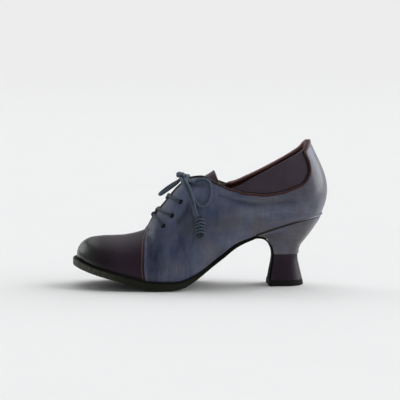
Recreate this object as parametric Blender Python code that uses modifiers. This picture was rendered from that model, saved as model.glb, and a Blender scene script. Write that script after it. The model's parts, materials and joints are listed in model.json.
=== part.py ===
"""Left lace-up dress shoe with a spool heel, as separate named solids.

The toe points to -X, the heel to +X, the lateral side to -Y and the floor is z = 0.
Every piece is worked out from the shoe's length, ball width, heel height and back height.
"""
import math

import bmesh
import bpy
import numpy as np
from mathutils import Matrix, Vector

MM = 0.001
ASSEMBLY = "dress_shoe"

# Driving sizes, in millimetres.
LENGTH = 240.0
BALL_WIDTH = 78.0
HEEL_HEIGHT = 66.5
BACK_HEIGHT = 137.5
WALL = 2.0
GAP = 0.35
WELT_REACH = 2.5
WELT_INSIDE = 9.0
WELT_END = 9.6
WELT_SKIVED = 0.6
WELT_SEAT = 0.7
INSOLE_THICK = 2.4
TONGUE_THICK = 1.6
TONGUE_CLEAR = 0.8
LIFT_THICK = 4.8
HEEL_SEAT_PROUD = 0.7
CORD = 2.0
CENTRING = (-0.385, -2.038, 1.25)

# Mesh fineness.
RIBS_PER_ROW = 2
RIB_STEPS = 12
HEEL_RING_STEPS = 14
HEEL_STEPS = 2
CORD_SIDES = 2
TOE_RIBS = (0.12, 0.35, 0.65)
RIB_STEP = 0.5
TONGUE_RIBS = (5.4, 9.8)
TONGUE_STEP = 0.4
TONGUE_POINTS = 15
CROSSING_POINTS = 34
ROUTE_STEPS = 24
BALL_SEGMENTS = (16, 10)
MERGE = 0.01 * MM

# The upper's ribs, from the toe tip to the centre of the back. Each rib runs from the foot, where
# the wall meets the sole, to the edge: the ridge of the vamp, then the facing, then the collar.
# foot_x and edge_x are percent of LENGTH from the middle, foot_z percent of HEEL_HEIGHT,
# edge_z percent of BACK_HEIGHT, as is medial_drop, by which the medial edge is lower; the widths
# are percent of BALL_WIDTH and the angles degrees.
# face is the way the wall looks, 90 forwards and -90 backwards; flare is the outward lean at the
# foot, lean the inward lean at the edge, and pull how full the curve between them is.
RIB_COLUMNS = ("foot_x", "foot_z", "centre", "lateral", "medial", "face",
               "edge_x", "edge_z", "edge_half", "medial_drop", "flare", "lean", "pull")
RIBS = (
    (-48.5, 39.7, 9.0, 0.0, 0.0, 90, -40.4, 33.0, 0.0, 0.0, 6, 90, 1.22),
    (-47.9, 38.2, 9.0, 11.3, 10.3, 66, -39.8, 33.1, 0.0, 0.0, 6, 90, 1.22),
    (-45.8, 34.8, 8.7, 23.2, 21.2, 46, -38.5, 33.3, 0.0, 0.0, 6, 90, 1.18),
    (-42.1, 30.4, 8.1, 35.0, 32.0, 28, -36.5, 33.6, 0.0, 0.0, 7, 90, 1.12),
    (-36.7, 25.4, 6.8, 42.8, 41.0, 14, -33.1, 33.8, 0.0, 0.0, 8, 90, 1.12),
    (-29.6, 19.4, 4.9, 47.6, 47.2, 5, -28.1, 34.6, 0.0, 0.0, 8, 90, 1.08),
    (-22.3, 12.9, 2.8, 49.4, 50.8, 0, -21.5, 38.2, 0.0, 0.0, 8, 88, 1.08),
    (-15.4, 11.3, 1.3, 49.7, 50.3, 0, -18.3, 46.2, 4.5, 0.0, 8, 80, 1.0),
    (-8.3, 12.4, 0.5, 48.1, 46.8, 0, -13.8, 56.0, 6.4, 0.0, 8, 74, 1.0),
    (-1.7, 22.6, 0.0, 44.2, 40.4, 0, -8.5, 67.4, 9.0, 0.7, 12, 66, 1.0),
    (4.2, 37.6, 0.0, 39.7, 35.3, 0, -4.0, 73.8, 12.2, 1.7, 16, 58, 1.0),
    (9.2, 50.6, 0.0, 36.5, 32.4, 0, 2.5, 74.7, 21.8, 1.6, 18, 40, 1.0),
    (12.9, 60.2, 0.0, 35.0, 31.5, 0, 7.5, 71.6, 29.5, 0.0, 18, 28, 1.0),
    (17.1, 66.8, 0.0, 34.1, 31.4, 0, 12.9, 68.6, 33.3, -0.6, 16, 18, 1.0),
    (22.9, 74.0, 0.0, 33.8, 32.2, 0, 20.8, 75.5, 32.7, 0.9, 14, 14, 1.0),
    (29.6, 82.4, 0.0, 34.5, 33.7, 0, 28.3, 82.4, 30.8, 1.3, 13, 12, 1.0),
    (35.8, 89.5, 0.0, 34.6, 34.1, -6, 35.0, 88.3, 27.6, 0.6, 14, 12, 1.0),
    (41.3, 94.7, 0.0, 30.8, 30.8, -30, 40.4, 93.4, 21.8, -0.8, 18, 14, 1.1),
    (45.2, 98.0, 0.0, 21.2, 21.2, -58, 42.2, 97.5, 12.8, -0.6, 23, 20, 1.22),
    (47.9, 100.0, 0.0, 0.0, 0.0, -90, 42.9, 100.0, 0.0, 0.0, 26, 24, 1.3),
)
RIB_UNITS = dict(foot_x=LENGTH, foot_z=HEEL_HEIGHT, centre=BALL_WIDTH, lateral=BALL_WIDTH,
                 medial=BALL_WIDTH, edge_x=LENGTH, edge_z=BACK_HEIGHT, edge_half=BALL_WIDTH,
                 medial_drop=BACK_HEIGHT)
CHANGES_SIGN = ("lateral", "medial", "edge_half", "face")
LAST_RIB = len(RIBS) - 1
THROAT = 6
LATERAL, MEDIAL = -1, 1

# The outsole along the ribs, in millimetres: the height of its tread, how far its edge stands out
# past the upper, and the thickness of the welt above it.
SOLE_COLUMNS = ("rib", "tread_z", "margin", "welt")
SOLE = (
    (0.0, 18.8, 3.6, 2.3),
    (1.0, 18.1, 3.6, 2.3),
    (2.0, 16.2, 3.6, 2.3),
    (3.0, 13.3, 3.6, 2.3),
    (4.0, 9.8, 3.6, 2.3),
    (5.0, 5.6, 3.6, 2.3),
    (6.0, 0.6, 3.6, 2.3),
    (6.6, -1.25, 3.6, 2.3),
    (7.85, -1.25, 3.5, 2.1),
    (8.2, 1.2, 3.3, 1.9),
    (8.5, 4.4, 2.8, 1.7),
    (9.0, 9.4, 2.0, 1.2),
    (9.6, 16.6, 1.0, 0.6),
    (10.0, 20.8, 0.7, 0.0),
    (11.0, 29.6, 0.5, 0.0),
    (12.0, 36.4, 0.5, 0.0),
    (13.0, 41.6, 0.4, 0.0),
    (13.5, 44.1, 0.3, 0.0),
)

# The flap of the outsole down the heel's breast, in millimetres: its outer face, its inner face
# and half its width.
FLAP_COLUMNS = ("outer_x", "outer_z", "inner_x", "inner_z", "half")
FLAP = (
    (50.9, 45.4, 51.5, 47.2, 25.6),
    (55.3, 45.1, 55.8, 46.9, 23.4),
    (59.6, 43.3, 60.5, 44.7, 17.6),
    (64.0, 39.4, 64.9, 40.2, 12.4),
    (67.2, 34.1, 68.0, 34.4, 9.0),
    (68.6, 28.0, 69.4, 28.0, 7.5),
    (68.2, 21.9, 68.9, 21.9, 7.4),
    (66.8, 13.8, 67.6, 13.8, 9.0),
    (65.5, 5.2, 66.3, 5.2, 11.2),
)

# The heel's levels, in millimetres: where its breast and its back are, and half its width.
HEEL_COLUMNS = ("front_x", "front_z", "back_x", "back_z", "half")
HEEL_BLOCK = (
    (51.8, 47.6, 116.2, 66.1, 27.5),
    (56.0, 47.3, 113.4, 60.2, 25.2),
    (60.8, 45.1, 107.2, 50.8, 20.4),
    (65.2, 40.5, 100.8, 42.4, 15.4),
    (68.4, 34.7, 95.9, 35.8, 11.6),
    (69.8, 28.2, 94.0, 28.2, 9.9),
)
HEEL_CUFF = (
    (69.7, 27.8, 92.4, 27.8, 9.3),
    (69.3, 22.0, 92.8, 22.0, 9.8),
    (68.0, 14.0, 95.0, 14.0, 11.8),
    (66.7, 5.2, 97.6, 5.2, 14.4),
)
TOP_LIFT = (
    (65.2, LIFT_THICK, 98.0, LIFT_THICK, 14.9),
    (64.7, -1.25, 98.8, -1.25, 15.6),
)

# The free top of the tongue, in millimetres past the last rib under the facings: how far back and
# up, how far its sides droop, and its share of the width there. The sides fall TONGUE_FALL times as
# far as they droop back.
TONGUE_COLUMNS = ("back", "rise", "droop", "width")
TONGUE_TOP = (
    (9.5, 1.2, 1.6, 0.92),
    (16.0, 3.8, 4.0, 0.90),
    (22.0, 8.0, 5.6, 0.90),
)
TONGUE_FALL = 1.5

# The punched lace holes: their ribs, and how far up the rib they are.
HOLE_COLUMNS = ("rib", "up")
LACE_HOLES = ((7.53, 0.70), (8.17, 0.74), (8.84, 0.80), (9.70, 0.87))
THROAT_SHARE = 0.4
CROSSING_LIFT = 0.5 * CORD + 0.5
CROSSING_LEAN = 0.7
CROSSING_END = 3.36

# The bow, in millimetres. Each cord leaves the knot in a direction of its own. The routes on the
# lateral wall give rib, place up the rib and height of the cord's middle over the wall, and the
# medial loop stands forward of the knot.
KNOT_AT = (-15.6, -1.6, 102.8)
KNOT_RADII = (6.8, 4.6, 3.1)
KNOT_DIP = 13.0
KNOT_CLEAR = 0.9
KNOT_EXITS = dict(loop_out=(0.85, -0.5, 0.1), loop_back=(0.4, -0.9, -0.1), front=(-0.35, -0.85, -0.4),
                  rear=(0.05, -0.9, -0.43), medial_out=(-0.35, 0.3, -0.85), medial_back=(-0.15, 0.75, -0.6))
ON_WALL = 0.5 * CORD + 0.5
LOOP_LATERAL = ((10.03, 0.982, 2.7), (10.2, 0.952, 1.8), (10.45, 0.955, ON_WALL), (10.7, 0.957, ON_WALL),
                (10.93, 0.945, ON_WALL), (11.08, 0.905, ON_WALL), (11.13, 0.83, ON_WALL),
                (10.97, 0.73, ON_WALL), (10.6, 0.635, ON_WALL), (10.25, 0.608, ON_WALL),
                (10.05, 0.64, ON_WALL), (9.97, 0.72, ON_WALL), (9.95, 0.8, ON_WALL), (9.9, 0.88, 1.9),
                (9.82, 0.955, 2.8))
END_FRONT = ((9.36, 0.965, 2.6), (9.42, 0.89, 1.9), (9.5, 0.8, ON_WALL), (9.54, 0.7, ON_WALL),
             (9.56, 0.605, ON_WALL), (9.595, 0.523, ON_WALL))
END_REAR = ((9.6, 0.96, 2.6), (9.67, 0.88, 1.9), (9.73, 0.8, ON_WALL), (9.75, 0.7, ON_WALL),
            (9.76, 0.606, ON_WALL), (9.775, 0.537, ON_WALL))
LOOP_MEDIAL = ((-22.5, 0.6, 97.0), (-27.5, 1.4, 93.6), (-32.8, 2.8, 89.8), (-37.0, 5.2, 86.4),
               (-38.2, 7.8, 85.2), (-36.2, 10.2, 86.2), (-31.2, 11.0, 89.9), (-25.6, 9.6, 94.0),
               (-20.8, 6.2, 97.6))
SENNIT_RIB = 9.64
SENNIT_UP = 0.425
SENNIT_RADII = (4.8, 2.5, 9.8)
SENNIT_CLEAR = 0.4

# Colours and finish of each piece: red, green, blue, roughness.
FINISH = dict(
    upper=(0.07, 0.11, 0.19, 0.35), outsole=(0.05, 0.05, 0.035, 0.45), welt=(0.01, 0.01, 0.01, 0.5),
    insole=(0.16, 0.05, 0.03, 0.6), tongue=(0.09, 0.02, 0.03, 0.5), heel_block=(0.05, 0.09, 0.17, 0.35),
    heel_cuff=(0.09, 0.02, 0.03, 0.45), top_lift=(0.01, 0.01, 0.01, 0.5), lace=(0.1, 0.14, 0.2, 0.5),
)


def columns(names, rows):
    """Turn a table of rows into one array for each named column."""
    return dict(zip(names, np.array(rows, float).T))


def named_rows(names, rows):
    """Turn a table of rows into one set of named values for each row."""
    return [dict(zip(names, row)) for row in rows]


RIB_TABLE = columns(RIB_COLUMNS, RIBS)
SOLE_TABLE = columns(SOLE_COLUMNS, SOLE)
HOLE_TABLE = columns(HOLE_COLUMNS, LACE_HOLES)


def rib_values(u):
    """Smooth cubic through the rib rows. Columns that change sign at the toe tip and at the back
    keep their slope there, the others arrive level, so that both ends are round."""
    u = np.clip(np.asarray(u, float), 0.0, LAST_RIB)
    row = np.minimum(u.astype(int), LAST_RIB - 1)
    f = u - row
    values = {}
    for name, p in RIB_TABLE.items():
        slope = np.gradient(p)
        if name not in CHANGES_SIGN:
            slope[0] = slope[-1] = 0.0
        a, b = p[row], p[row + 1]
        curve = (a * (1 + 2 * f) + slope[row] * f) * (1 - f) ** 2
        curve = curve + (b * (3 - 2 * f) - slope[row + 1] * (1 - f)) * f ** 2
        values[name] = curve * RIB_UNITS.get(name, 100.0) / 100.0
    values["edge_half"] = np.maximum(values["edge_half"], 0.0)
    return values


def sole_value(name, u):
    """Cubic through a sole column that never overshoots its rows, so the flat tread stays flat."""
    x, y = SOLE_TABLE["rib"], SOLE_TABLE[name]
    step = np.diff(x)
    secant = np.diff(y) / step
    slope = np.zeros_like(y)
    same = secant[:-1] * secant[1:] > 0
    total = np.where(same, secant[:-1] + secant[1:], 1.0)
    slope[1:-1] = np.where(same, 2 * secant[:-1] * secant[1:] / total, 0.0)
    slope[-1] = secant[-1]
    u = np.clip(np.asarray(u, float), x[0], x[-1])
    row = np.clip(np.searchsorted(x, u, side="right") - 1, 0, len(x) - 2)
    f = (u - x[row]) / step[row]
    curve = (y[row] * (1 + 2 * f) + slope[row] * step[row] * f) * (1 - f) ** 2
    return curve + (y[row + 1] * (3 - 2 * f) - slope[row + 1] * step[row] * (1 - f)) * f ** 2


def foot_point(u, side, outward=0.0):
    """Point where the wall meets the sole, moved outward in plan."""
    rib = rib_values(u)
    face = np.radians(rib["face"])
    width = np.where(side == LATERAL, rib["lateral"], rib["medial"])
    x = rib["foot_x"] - np.sin(face) * outward
    y = rib["centre"] + side * (width + np.cos(face) * outward)
    return np.stack([x, y, rib["foot_z"]], axis=-1)


def platform_z(x):
    """Height of the foot line at a place along the shoe: the plane that the wall stands on."""
    rib = rib_values(np.linspace(0, LAST_RIB, 400))
    return np.interp(x, rib["foot_x"], rib["foot_z"])


def upper_point(u, t, side):
    """Outer face of the upper at rib u and at t up the rib: a cubic from the foot, leaving with the
    flare, to the edge, arriving with the lean."""
    u, t = np.broadcast_arrays(np.asarray(u, float), np.asarray(t, float))
    rib = rib_values(u)
    foot = foot_point(u, side)
    edge_z = rib["edge_z"] - (rib["medial_drop"] if side == MEDIAL else 0.0)
    edge = np.stack([rib["edge_x"], rib["centre"] + side * rib["edge_half"], edge_z], axis=-1)
    face, flare, lean = (np.radians(rib[name]) for name in ("face", "flare", "lean"))
    out = np.stack([-np.sin(face), side * np.cos(face), np.zeros_like(face)], axis=-1)
    up = np.array([0.0, 0.0, 1.0])
    reach = (rib["pull"] * np.linalg.norm(edge - foot, axis=-1))[..., None]
    leave = reach * (np.sin(flare)[..., None] * out + np.cos(flare)[..., None] * up)
    arrive = reach * (-np.sin(lean)[..., None] * out + np.cos(lean)[..., None] * up)
    t = t[..., None]
    start = (foot * (1 + 2 * t) + leave * t) * (1 - t) ** 2
    return start + (edge * (3 - 2 * t) - arrive * (1 - t)) * t ** 2


def upper_normal(u, t, side):
    """Unit vector out of the upper's outer face, from small steps along both directions."""
    step = 0.01
    u = np.clip(u, step, LAST_RIB - step)
    t = np.clip(t, step, 1 - step)
    along = upper_point(u + step, t, side) - upper_point(u - step, t, side)
    rise = upper_point(u, t + step, side) - upper_point(u, t - step, side)
    normal = -side * np.cross(along, rise)
    return normal / np.linalg.norm(normal, axis=-1, keepdims=True)


def wall_point(u, t, side, lift):
    """Point at a height over the upper's outer face, or inside it where lift is negative."""
    return upper_point(u, t, side) + lift * upper_normal(u, t, side)


def throat_point(u, across, lift):
    """Point over the throat: across runs from -1, at the lateral row of holes, over the open
    throat, where it follows an arch between the two facing edges, to 1 at the medial row. On the
    closed vamp it runs over the ridge."""
    side = LATERAL if across < 0 else MEDIAL
    gap_share = THROAT_SHARE * min(1.0, max(0.0, u - THROAT))
    if abs(across) >= gap_share:
        hole_up = np.interp(u, HOLE_TABLE["rib"], HOLE_TABLE["up"])
        t = 1 - (1 - hole_up) * (abs(across) - gap_share) / (1 - gap_share)
        return wall_point(u, t, side, lift)
    lateral = wall_point(u, 1.0, LATERAL, lift)
    medial = wall_point(u, 1.0, MEDIAL, lift)
    part = 0.5 + 0.5 * across / gap_share
    point = lateral + (medial - lateral) * part
    rise = 0.25 * abs(medial[1] - lateral[1]) / math.tan(math.radians(float(rib_values(u)["lean"])))
    point[2] += rise * (1 - (across / gap_share) ** 2)
    return point


def material(name, finish):
    """Plain principled material of a piece."""
    red, green, blue, roughness = finish
    made = bpy.data.materials.new(name)
    made.use_nodes = True
    shader = made.node_tree.nodes["Principled BSDF"]
    shader.inputs["Base Color"].default_value = (red, green, blue, 1.0)
    shader.inputs["Roughness"].default_value = roughness
    shader.inputs["Metallic"].default_value = 0.0
    made.diffuse_color = (red, green, blue, 1.0)
    return made


def mesh_object(name, points, faces, finish, close=True):
    """Mesh from points in millimetres, with doubles merged and, on a closed body, faces outward."""
    mesh = bpy.data.meshes.new(name)
    mesh.from_pydata((np.asarray(points).reshape(-1, 3) * MM).tolist(), [], faces)
    shape = bmesh.new()
    shape.from_mesh(mesh)
    bmesh.ops.remove_doubles(shape, verts=shape.verts, dist=MERGE)
    if close:
        bmesh.ops.recalc_face_normals(shape, faces=shape.faces)
    shape.to_mesh(mesh)
    shape.free()
    return place(name, mesh, finish)


def place(name, data, finish):
    """Object in the assembly's collection, carried by its empty, with its own material."""
    made = bpy.data.objects.new(name, data)
    data.materials.append(material(name, finish))
    bpy.data.collections[ASSEMBLY].objects.link(made)
    made.parent = bpy.data.objects[ASSEMBLY + "_frame"]
    return made


def grid_faces(rows, cols, first=0, flip=False):
    """Quads of a grid of points, row by row."""
    faces = []
    for i in range(rows - 1):
        for j in range(cols - 1):
            a = first + i * cols + j
            quad = (a, a + cols, a + cols + 1, a + 1)
            faces.append(quad[::-1] if flip else quad)
    return faces


def loft(name, rings, finish):
    """Closed solid through rings of equal point count, capped at both ends."""
    rings = np.asarray(rings)
    count, size = rings.shape[:2]
    faces = []
    for i in range(count - 1):
        for j in range(size):
            k = (j + 1) % size
            faces.append((i * size + j, i * size + k, (i + 1) * size + k, (i + 1) * size + j))
    faces.append(tuple(range(size)))
    faces.append(tuple(range((count - 1) * size, count * size)))
    return mesh_object(name, rings, faces, finish)


def shade_round(made, angle=math.radians(40)):
    """Smooth shading with sharp edges kept."""
    made.data.shade_smooth()
    made.data.set_sharp_from_angle(angle=angle)


def build_upper():
    """Hollow upper: the outer face from both sides' ribs, thickened inward."""
    u = np.linspace(0, LAST_RIB, LAST_RIB * RIBS_PER_ROW + 1)[:, None]
    t = np.linspace(0, 1, RIB_STEPS + 1)[None, :]
    points = [upper_point(u, t, side).reshape(-1, 3) for side in (LATERAL, MEDIAL)]
    rows, cols = u.size, t.size
    faces = grid_faces(rows, cols) + grid_faces(rows, cols, first=rows * cols, flip=True)
    upper = mesh_object("upper", np.vstack(points), faces, FINISH["upper"], close=False)
    shell = upper.modifiers.new("wall", "SOLIDIFY")
    shell.thickness = WALL * MM
    shell.offset = -1.0
    shell.use_even_offset = True
    shade_round(upper)


def build_outsole():
    """Outsole: a four-cornered section carried from the toe to the waist and down the breast."""
    stations = np.sort([*TOE_RIBS, WELT_END, *np.arange(1.0, SOLE[-1][0] + RIB_STEP, RIB_STEP)])
    welt = sole_value("welt", stations)
    drop = GAP + welt + WELT_SEAT * np.clip(welt / WELT_SKIVED, 0, 1)
    margin = sole_value("margin", stations)
    tread = sole_value("tread_z", stations)
    rings = []
    for u, under, low, out in zip(stations, drop, tread, margin):
        lateral = foot_point(u, LATERAL, out)
        medial = foot_point(u, MEDIAL, out)
        high = platform_z(lateral[0]) - under
        rings.append([(lateral[0], lateral[1], low), (medial[0], medial[1], low),
                      (medial[0], medial[1], high), (lateral[0], lateral[1], high)])
    for flap in named_rows(FLAP_COLUMNS, FLAP):
        corners = (("outer", -1), ("outer", 1), ("inner", 1), ("inner", -1))
        rings.append([(flap[face + "_x"], way * flap["half"], flap[face + "_z"]) for face, way in corners])
    shade_round(loft("outsole", rings, FINISH["outsole"]))


def build_welt():
    """Welt: a flat strip around the forepart, from the lateral waist by the toe to the medial one."""
    half = [0.0, *TOE_RIBS[1:], *np.arange(1.0, WELT_END, RIB_STEP), WELT_END]
    route = [(u, LATERAL) for u in half[::-1]] + [(u, MEDIAL) for u in half[1:]]
    rings = []
    for u, side in route:
        reach = min(WELT_REACH, float(sole_value("margin", u)))
        outer = foot_point(u, side, reach)
        inner = foot_point(u, side, -WELT_INSIDE)
        thick = sole_value("welt", u)
        high = [platform_z(point[0]) - GAP for point in (outer, inner)]
        rings.append([(outer[0], outer[1], high[0] - thick), (outer[0], outer[1], high[0]),
                      (inner[0], inner[1], high[1]), (inner[0], inner[1], high[1] - thick)])
    shade_round(loft("welt", rings, FINISH["welt"]))


def build_insole():
    """Insole: a plate inside the foot of the wall, from the toe to the back."""
    stations = [*TOE_RIBS[1:], *np.arange(1.0, LAST_RIB - RIB_STEP, RIB_STEP), LAST_RIB - RIB_STEP]
    rings = []
    for u in stations:
        lateral = foot_point(u, LATERAL, -WALL - GAP)
        medial = foot_point(u, MEDIAL, -WALL - GAP)
        low = platform_z(lateral[0])
        high = low + INSOLE_THICK
        rings.append([(lateral[0], lateral[1], low), (medial[0], medial[1], low),
                      (medial[0], medial[1], high), (lateral[0], lateral[1], high)])
    shade_round(loft("insole", rings, FINISH["insole"]))


def build_tongue():
    """Tongue: a strip under the facings that follows the wall's inner face, and its free top."""
    across = np.linspace(-1.0, 1.0, TONGUE_POINTS)
    inside = -WALL - TONGUE_CLEAR
    first, last = TONGUE_RIBS
    ribs = np.linspace(first, last, round((last - first) / TONGUE_STEP) + 1)
    rows = [[throat_point(u, a, inside) for a in across] for u in ribs]
    free = np.array(rows[-1])
    for top in named_rows(TONGUE_COLUMNS, TONGUE_TOP):
        droop = top["droop"] * across ** 2
        row = free * np.array([1.0, top["width"], 1.0]) + np.array([top["back"], 0.0, top["rise"]])
        row[:, 0] += droop
        row[:, 2] -= TONGUE_FALL * droop
        rows.append(row)
    faces = grid_faces(len(rows), across.size)
    tongue = mesh_object("tongue", rows, faces, FINISH["tongue"], close=False)
    shell = tongue.modifiers.new("thickness", "SOLIDIFY")
    shell.thickness = TONGUE_THICK * MM
    shell.offset = -1.0
    shade_round(tongue)


def between_rows(rows, steps=HEEL_STEPS):
    """Rows of a table with smooth rows added between them."""
    rows = np.array(rows)
    slope = np.gradient(rows, axis=0)
    fine = []
    for i in range(len(rows) - 1):
        f = np.arange(steps)[:, None] / steps
        curve = (rows[i] * (1 + 2 * f) + slope[i] * f) * (1 - f) ** 2
        fine.append(curve + (rows[i + 1] * (3 - 2 * f) - slope[i + 1] * (1 - f)) * f ** 2)
    return np.vstack(fine + [rows[-1:]])


def heel_ring(front_x, front_z, back_x, back_z, half):
    """Outline of one heel level: the heel seat's own outline, scaled to this level's sizes."""
    seat = seat_ring()
    share = (seat[:, 0] - seat[0, 0]) / (seat[:, 0].max() - seat[0, 0])
    x = front_x + share * (back_x - front_x)
    y = seat[:, 1] * half / np.abs(seat[:, 1]).max()
    return np.stack([x, y, front_z + share * (back_z - front_z)], axis=-1)


def seat_ring():
    """Outline of the heel seat, which follows the foot of the wall from the breast round the back."""
    rows = np.arange(LAST_RIB + 1)
    first = np.interp(HEEL_BLOCK[0][0], rib_values(rows)["foot_x"], rows)
    u = np.linspace(first, LAST_RIB, HEEL_RING_STEPS)
    lateral = foot_point(u, LATERAL, HEEL_SEAT_PROUD)
    medial = foot_point(u[:-1][::-1], MEDIAL, HEEL_SEAT_PROUD)
    return np.vstack([lateral, medial]) - np.array([0.0, 0.0, GAP])


def build_heel():
    """Spool heel: covered block, cuff and top lift."""
    levels = dict(heel_block=between_rows(HEEL_BLOCK), heel_cuff=between_rows(HEEL_CUFF), top_lift=TOP_LIFT)
    for name, rows in levels.items():
        rings = [heel_ring(**level) for level in named_rows(HEEL_COLUMNS, rows)]
        if name == "heel_block":
            rings[0] = seat_ring()
        shade_round(loft(name, rings, FINISH[name]))


def smooth_route(points, spacing):
    """Evenly spaced points on a smooth curve through the route's own points."""
    points = np.asarray(points, float)
    slope = np.gradient(points, axis=0)
    fine = []
    for i in range(len(points) - 1):
        f = np.linspace(0, 1, ROUTE_STEPS, endpoint=i == len(points) - 2)[:, None]
        curve = (points[i] * (1 + 2 * f) + slope[i] * f) * (1 - f) ** 2
        fine.append(curve + (points[i + 1] * (3 - 2 * f) - slope[i + 1] * (1 - f)) * f ** 2)
    fine = np.vstack(fine)
    run = np.concatenate([[0], np.cumsum(np.linalg.norm(np.diff(fine, axis=0), axis=1))])
    even = np.linspace(0, run[-1], max(4, int(run[-1] / spacing) + 1))
    return np.stack([np.interp(even, run, fine[:, k]) for k in range(3)], axis=-1)


def cord(name, points, spacing=2.5 * CORD):
    """Round cord along a smooth route, with filled ends."""
    curve = bpy.data.curves.new(name, "CURVE")
    curve.dimensions = "3D"
    curve.bevel_depth = 0.5 * CORD * MM
    curve.bevel_resolution = CORD_SIDES
    curve.use_fill_caps = True
    route = smooth_route(points, spacing) * MM
    spline = curve.splines.new("POLY")
    spline.points.add(len(route) - 1)
    for point, place_at in zip(spline.points, route):
        point.co = (*place_at, 1.0)
    return place(name, curve, FINISH["lace"])


def cord_mesh(name, points):
    """The same cord as a closed mesh, ready for a Boolean."""
    curve = cord(name + "_curve", points, spacing=1.6 * CORD)
    bpy.context.view_layer.update()
    solid = curve.evaluated_get(bpy.context.evaluated_depsgraph_get())
    mesh = bpy.data.meshes.new_from_object(solid)
    shape = bmesh.new()
    shape.from_mesh(mesh)
    bmesh.ops.remove_doubles(shape, verts=shape.verts, dist=MERGE)
    shape.to_mesh(mesh)
    shape.free()
    bpy.data.objects.remove(curve)
    mesh.materials.clear()
    return place(name, mesh, FINISH["lace"])


def crossing_route(turn):
    """One half of the lace: a wave over the throat that reaches a row of holes at each whole step
    and crosses the throat square to its edges."""
    steps = np.linspace(1.0, CROSSING_END, CROSSING_POINTS)
    ribs = np.interp(steps, np.arange(1, len(LACE_HOLES) + 1), HOLE_TABLE["rib"])
    across = turn * np.cos(np.pi * steps)
    ribs = ribs - CROSSING_LEAN * (1 - np.abs(across))
    return [throat_point(u, a, CROSSING_LIFT) for u, a in zip(ribs, across)]


def build_crossings():
    """Lace over the throat: two waves that cross, joined into one solid."""
    laces = cord_mesh("lace_crossings", crossing_route(1.0))
    other = cord_mesh("lace_crossings_other", crossing_route(-1.0))
    hidden = bpy.data.collections[ASSEMBLY + "_cutters"]
    bpy.data.collections[ASSEMBLY].objects.unlink(other)
    hidden.objects.link(other)
    other.hide_render = True
    other.display_type = "WIRE"
    join = laces.modifiers.new("join", "BOOLEAN")
    join.operation = "UNION"
    join.solver = "EXACT"
    join.object = other


def ball(name, centre, radii, axes):
    """Rounded body with three radii along three axes."""
    shape = bmesh.new()
    around, along = BALL_SEGMENTS
    bmesh.ops.create_uvsphere(shape, u_segments=around, v_segments=along, radius=1.0)
    turn = Matrix([[axes[col][row] * radii[col] * MM for col in range(3)] for row in range(3)])
    bmesh.ops.transform(shape, matrix=turn.to_4x4(), verts=shape.verts)
    bmesh.ops.translate(shape, vec=Vector(np.asarray(centre) * MM), verts=shape.verts)
    bmesh.ops.recalc_face_normals(shape, faces=shape.faces)
    mesh = bpy.data.meshes.new(name)
    shape.to_mesh(mesh)
    shape.free()
    shade_round(place(name, mesh, FINISH["lace"]))


def knot_exit(name):
    """Point just off the knot where a cord leaves it."""
    way = np.array(KNOT_EXITS[name])
    return np.array(KNOT_AT) + way / np.linalg.norm(way) * (np.array(KNOT_RADII) + KNOT_CLEAR)


def on_lateral(route):
    """Points of a route that lies on the lateral wall."""
    return [wall_point(u, t, LATERAL, lift) for u, t, lift in route]


def build_bow():
    """Knot, two loops, two ends and the knotted tassel that binds them."""
    dip = math.radians(KNOT_DIP)
    ball("lace_knot", KNOT_AT, KNOT_RADII,
         ((math.cos(dip), 0.0, -math.sin(dip)), (0.0, 1.0, 0.0), (math.sin(dip), 0.0, math.cos(dip))))
    cord("lace_loop_lateral",
         [knot_exit("loop_out"), *on_lateral(LOOP_LATERAL), knot_exit("loop_back")])
    cord("lace_loop_medial", [knot_exit("medial_out"), *LOOP_MEDIAL, knot_exit("medial_back")])
    cord("lace_end_front", [knot_exit("front"), *on_lateral(END_FRONT)])
    cord("lace_end_rear", [knot_exit("rear"), *on_lateral(END_REAR)])
    out = upper_normal(SENNIT_RIB, SENNIT_UP, LATERAL)
    centre = wall_point(SENNIT_RIB, SENNIT_UP, LATERAL, SENNIT_RADII[1] + SENNIT_CLEAR)
    up = np.array([0.0, 0.0, 1.0]) - out * out[2]
    up = up / np.linalg.norm(up)
    ball("lace_sennit", centre, SENNIT_RADII, (np.cross(out, up), out, up))


def main():
    for old in list(bpy.data.objects):
        bpy.data.objects.remove(old)
    for name in (ASSEMBLY, ASSEMBLY + "_cutters"):
        bpy.context.scene.collection.children.link(bpy.data.collections.new(name))
    frame = bpy.data.objects.new(ASSEMBLY + "_frame", None)
    frame.location = [c * MM for c in CENTRING]
    bpy.data.collections[ASSEMBLY].objects.link(frame)
    build_outsole()
    build_welt()
    build_insole()
    build_upper()
    build_tongue()
    build_heel()
    build_crossings()
    build_bow()


main()
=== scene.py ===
"""Looks of a laced dress shoe with a spool heel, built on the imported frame.

Lengths in the tables are millimetres in the shoe's own frame: toe to -X, heel to +X, lateral side
to -Y, floor at z = 0. Every panel is a piece of one wall function, so panels, piping, stitches and
lace all lie on the same last.
"""
import json
import math

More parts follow.
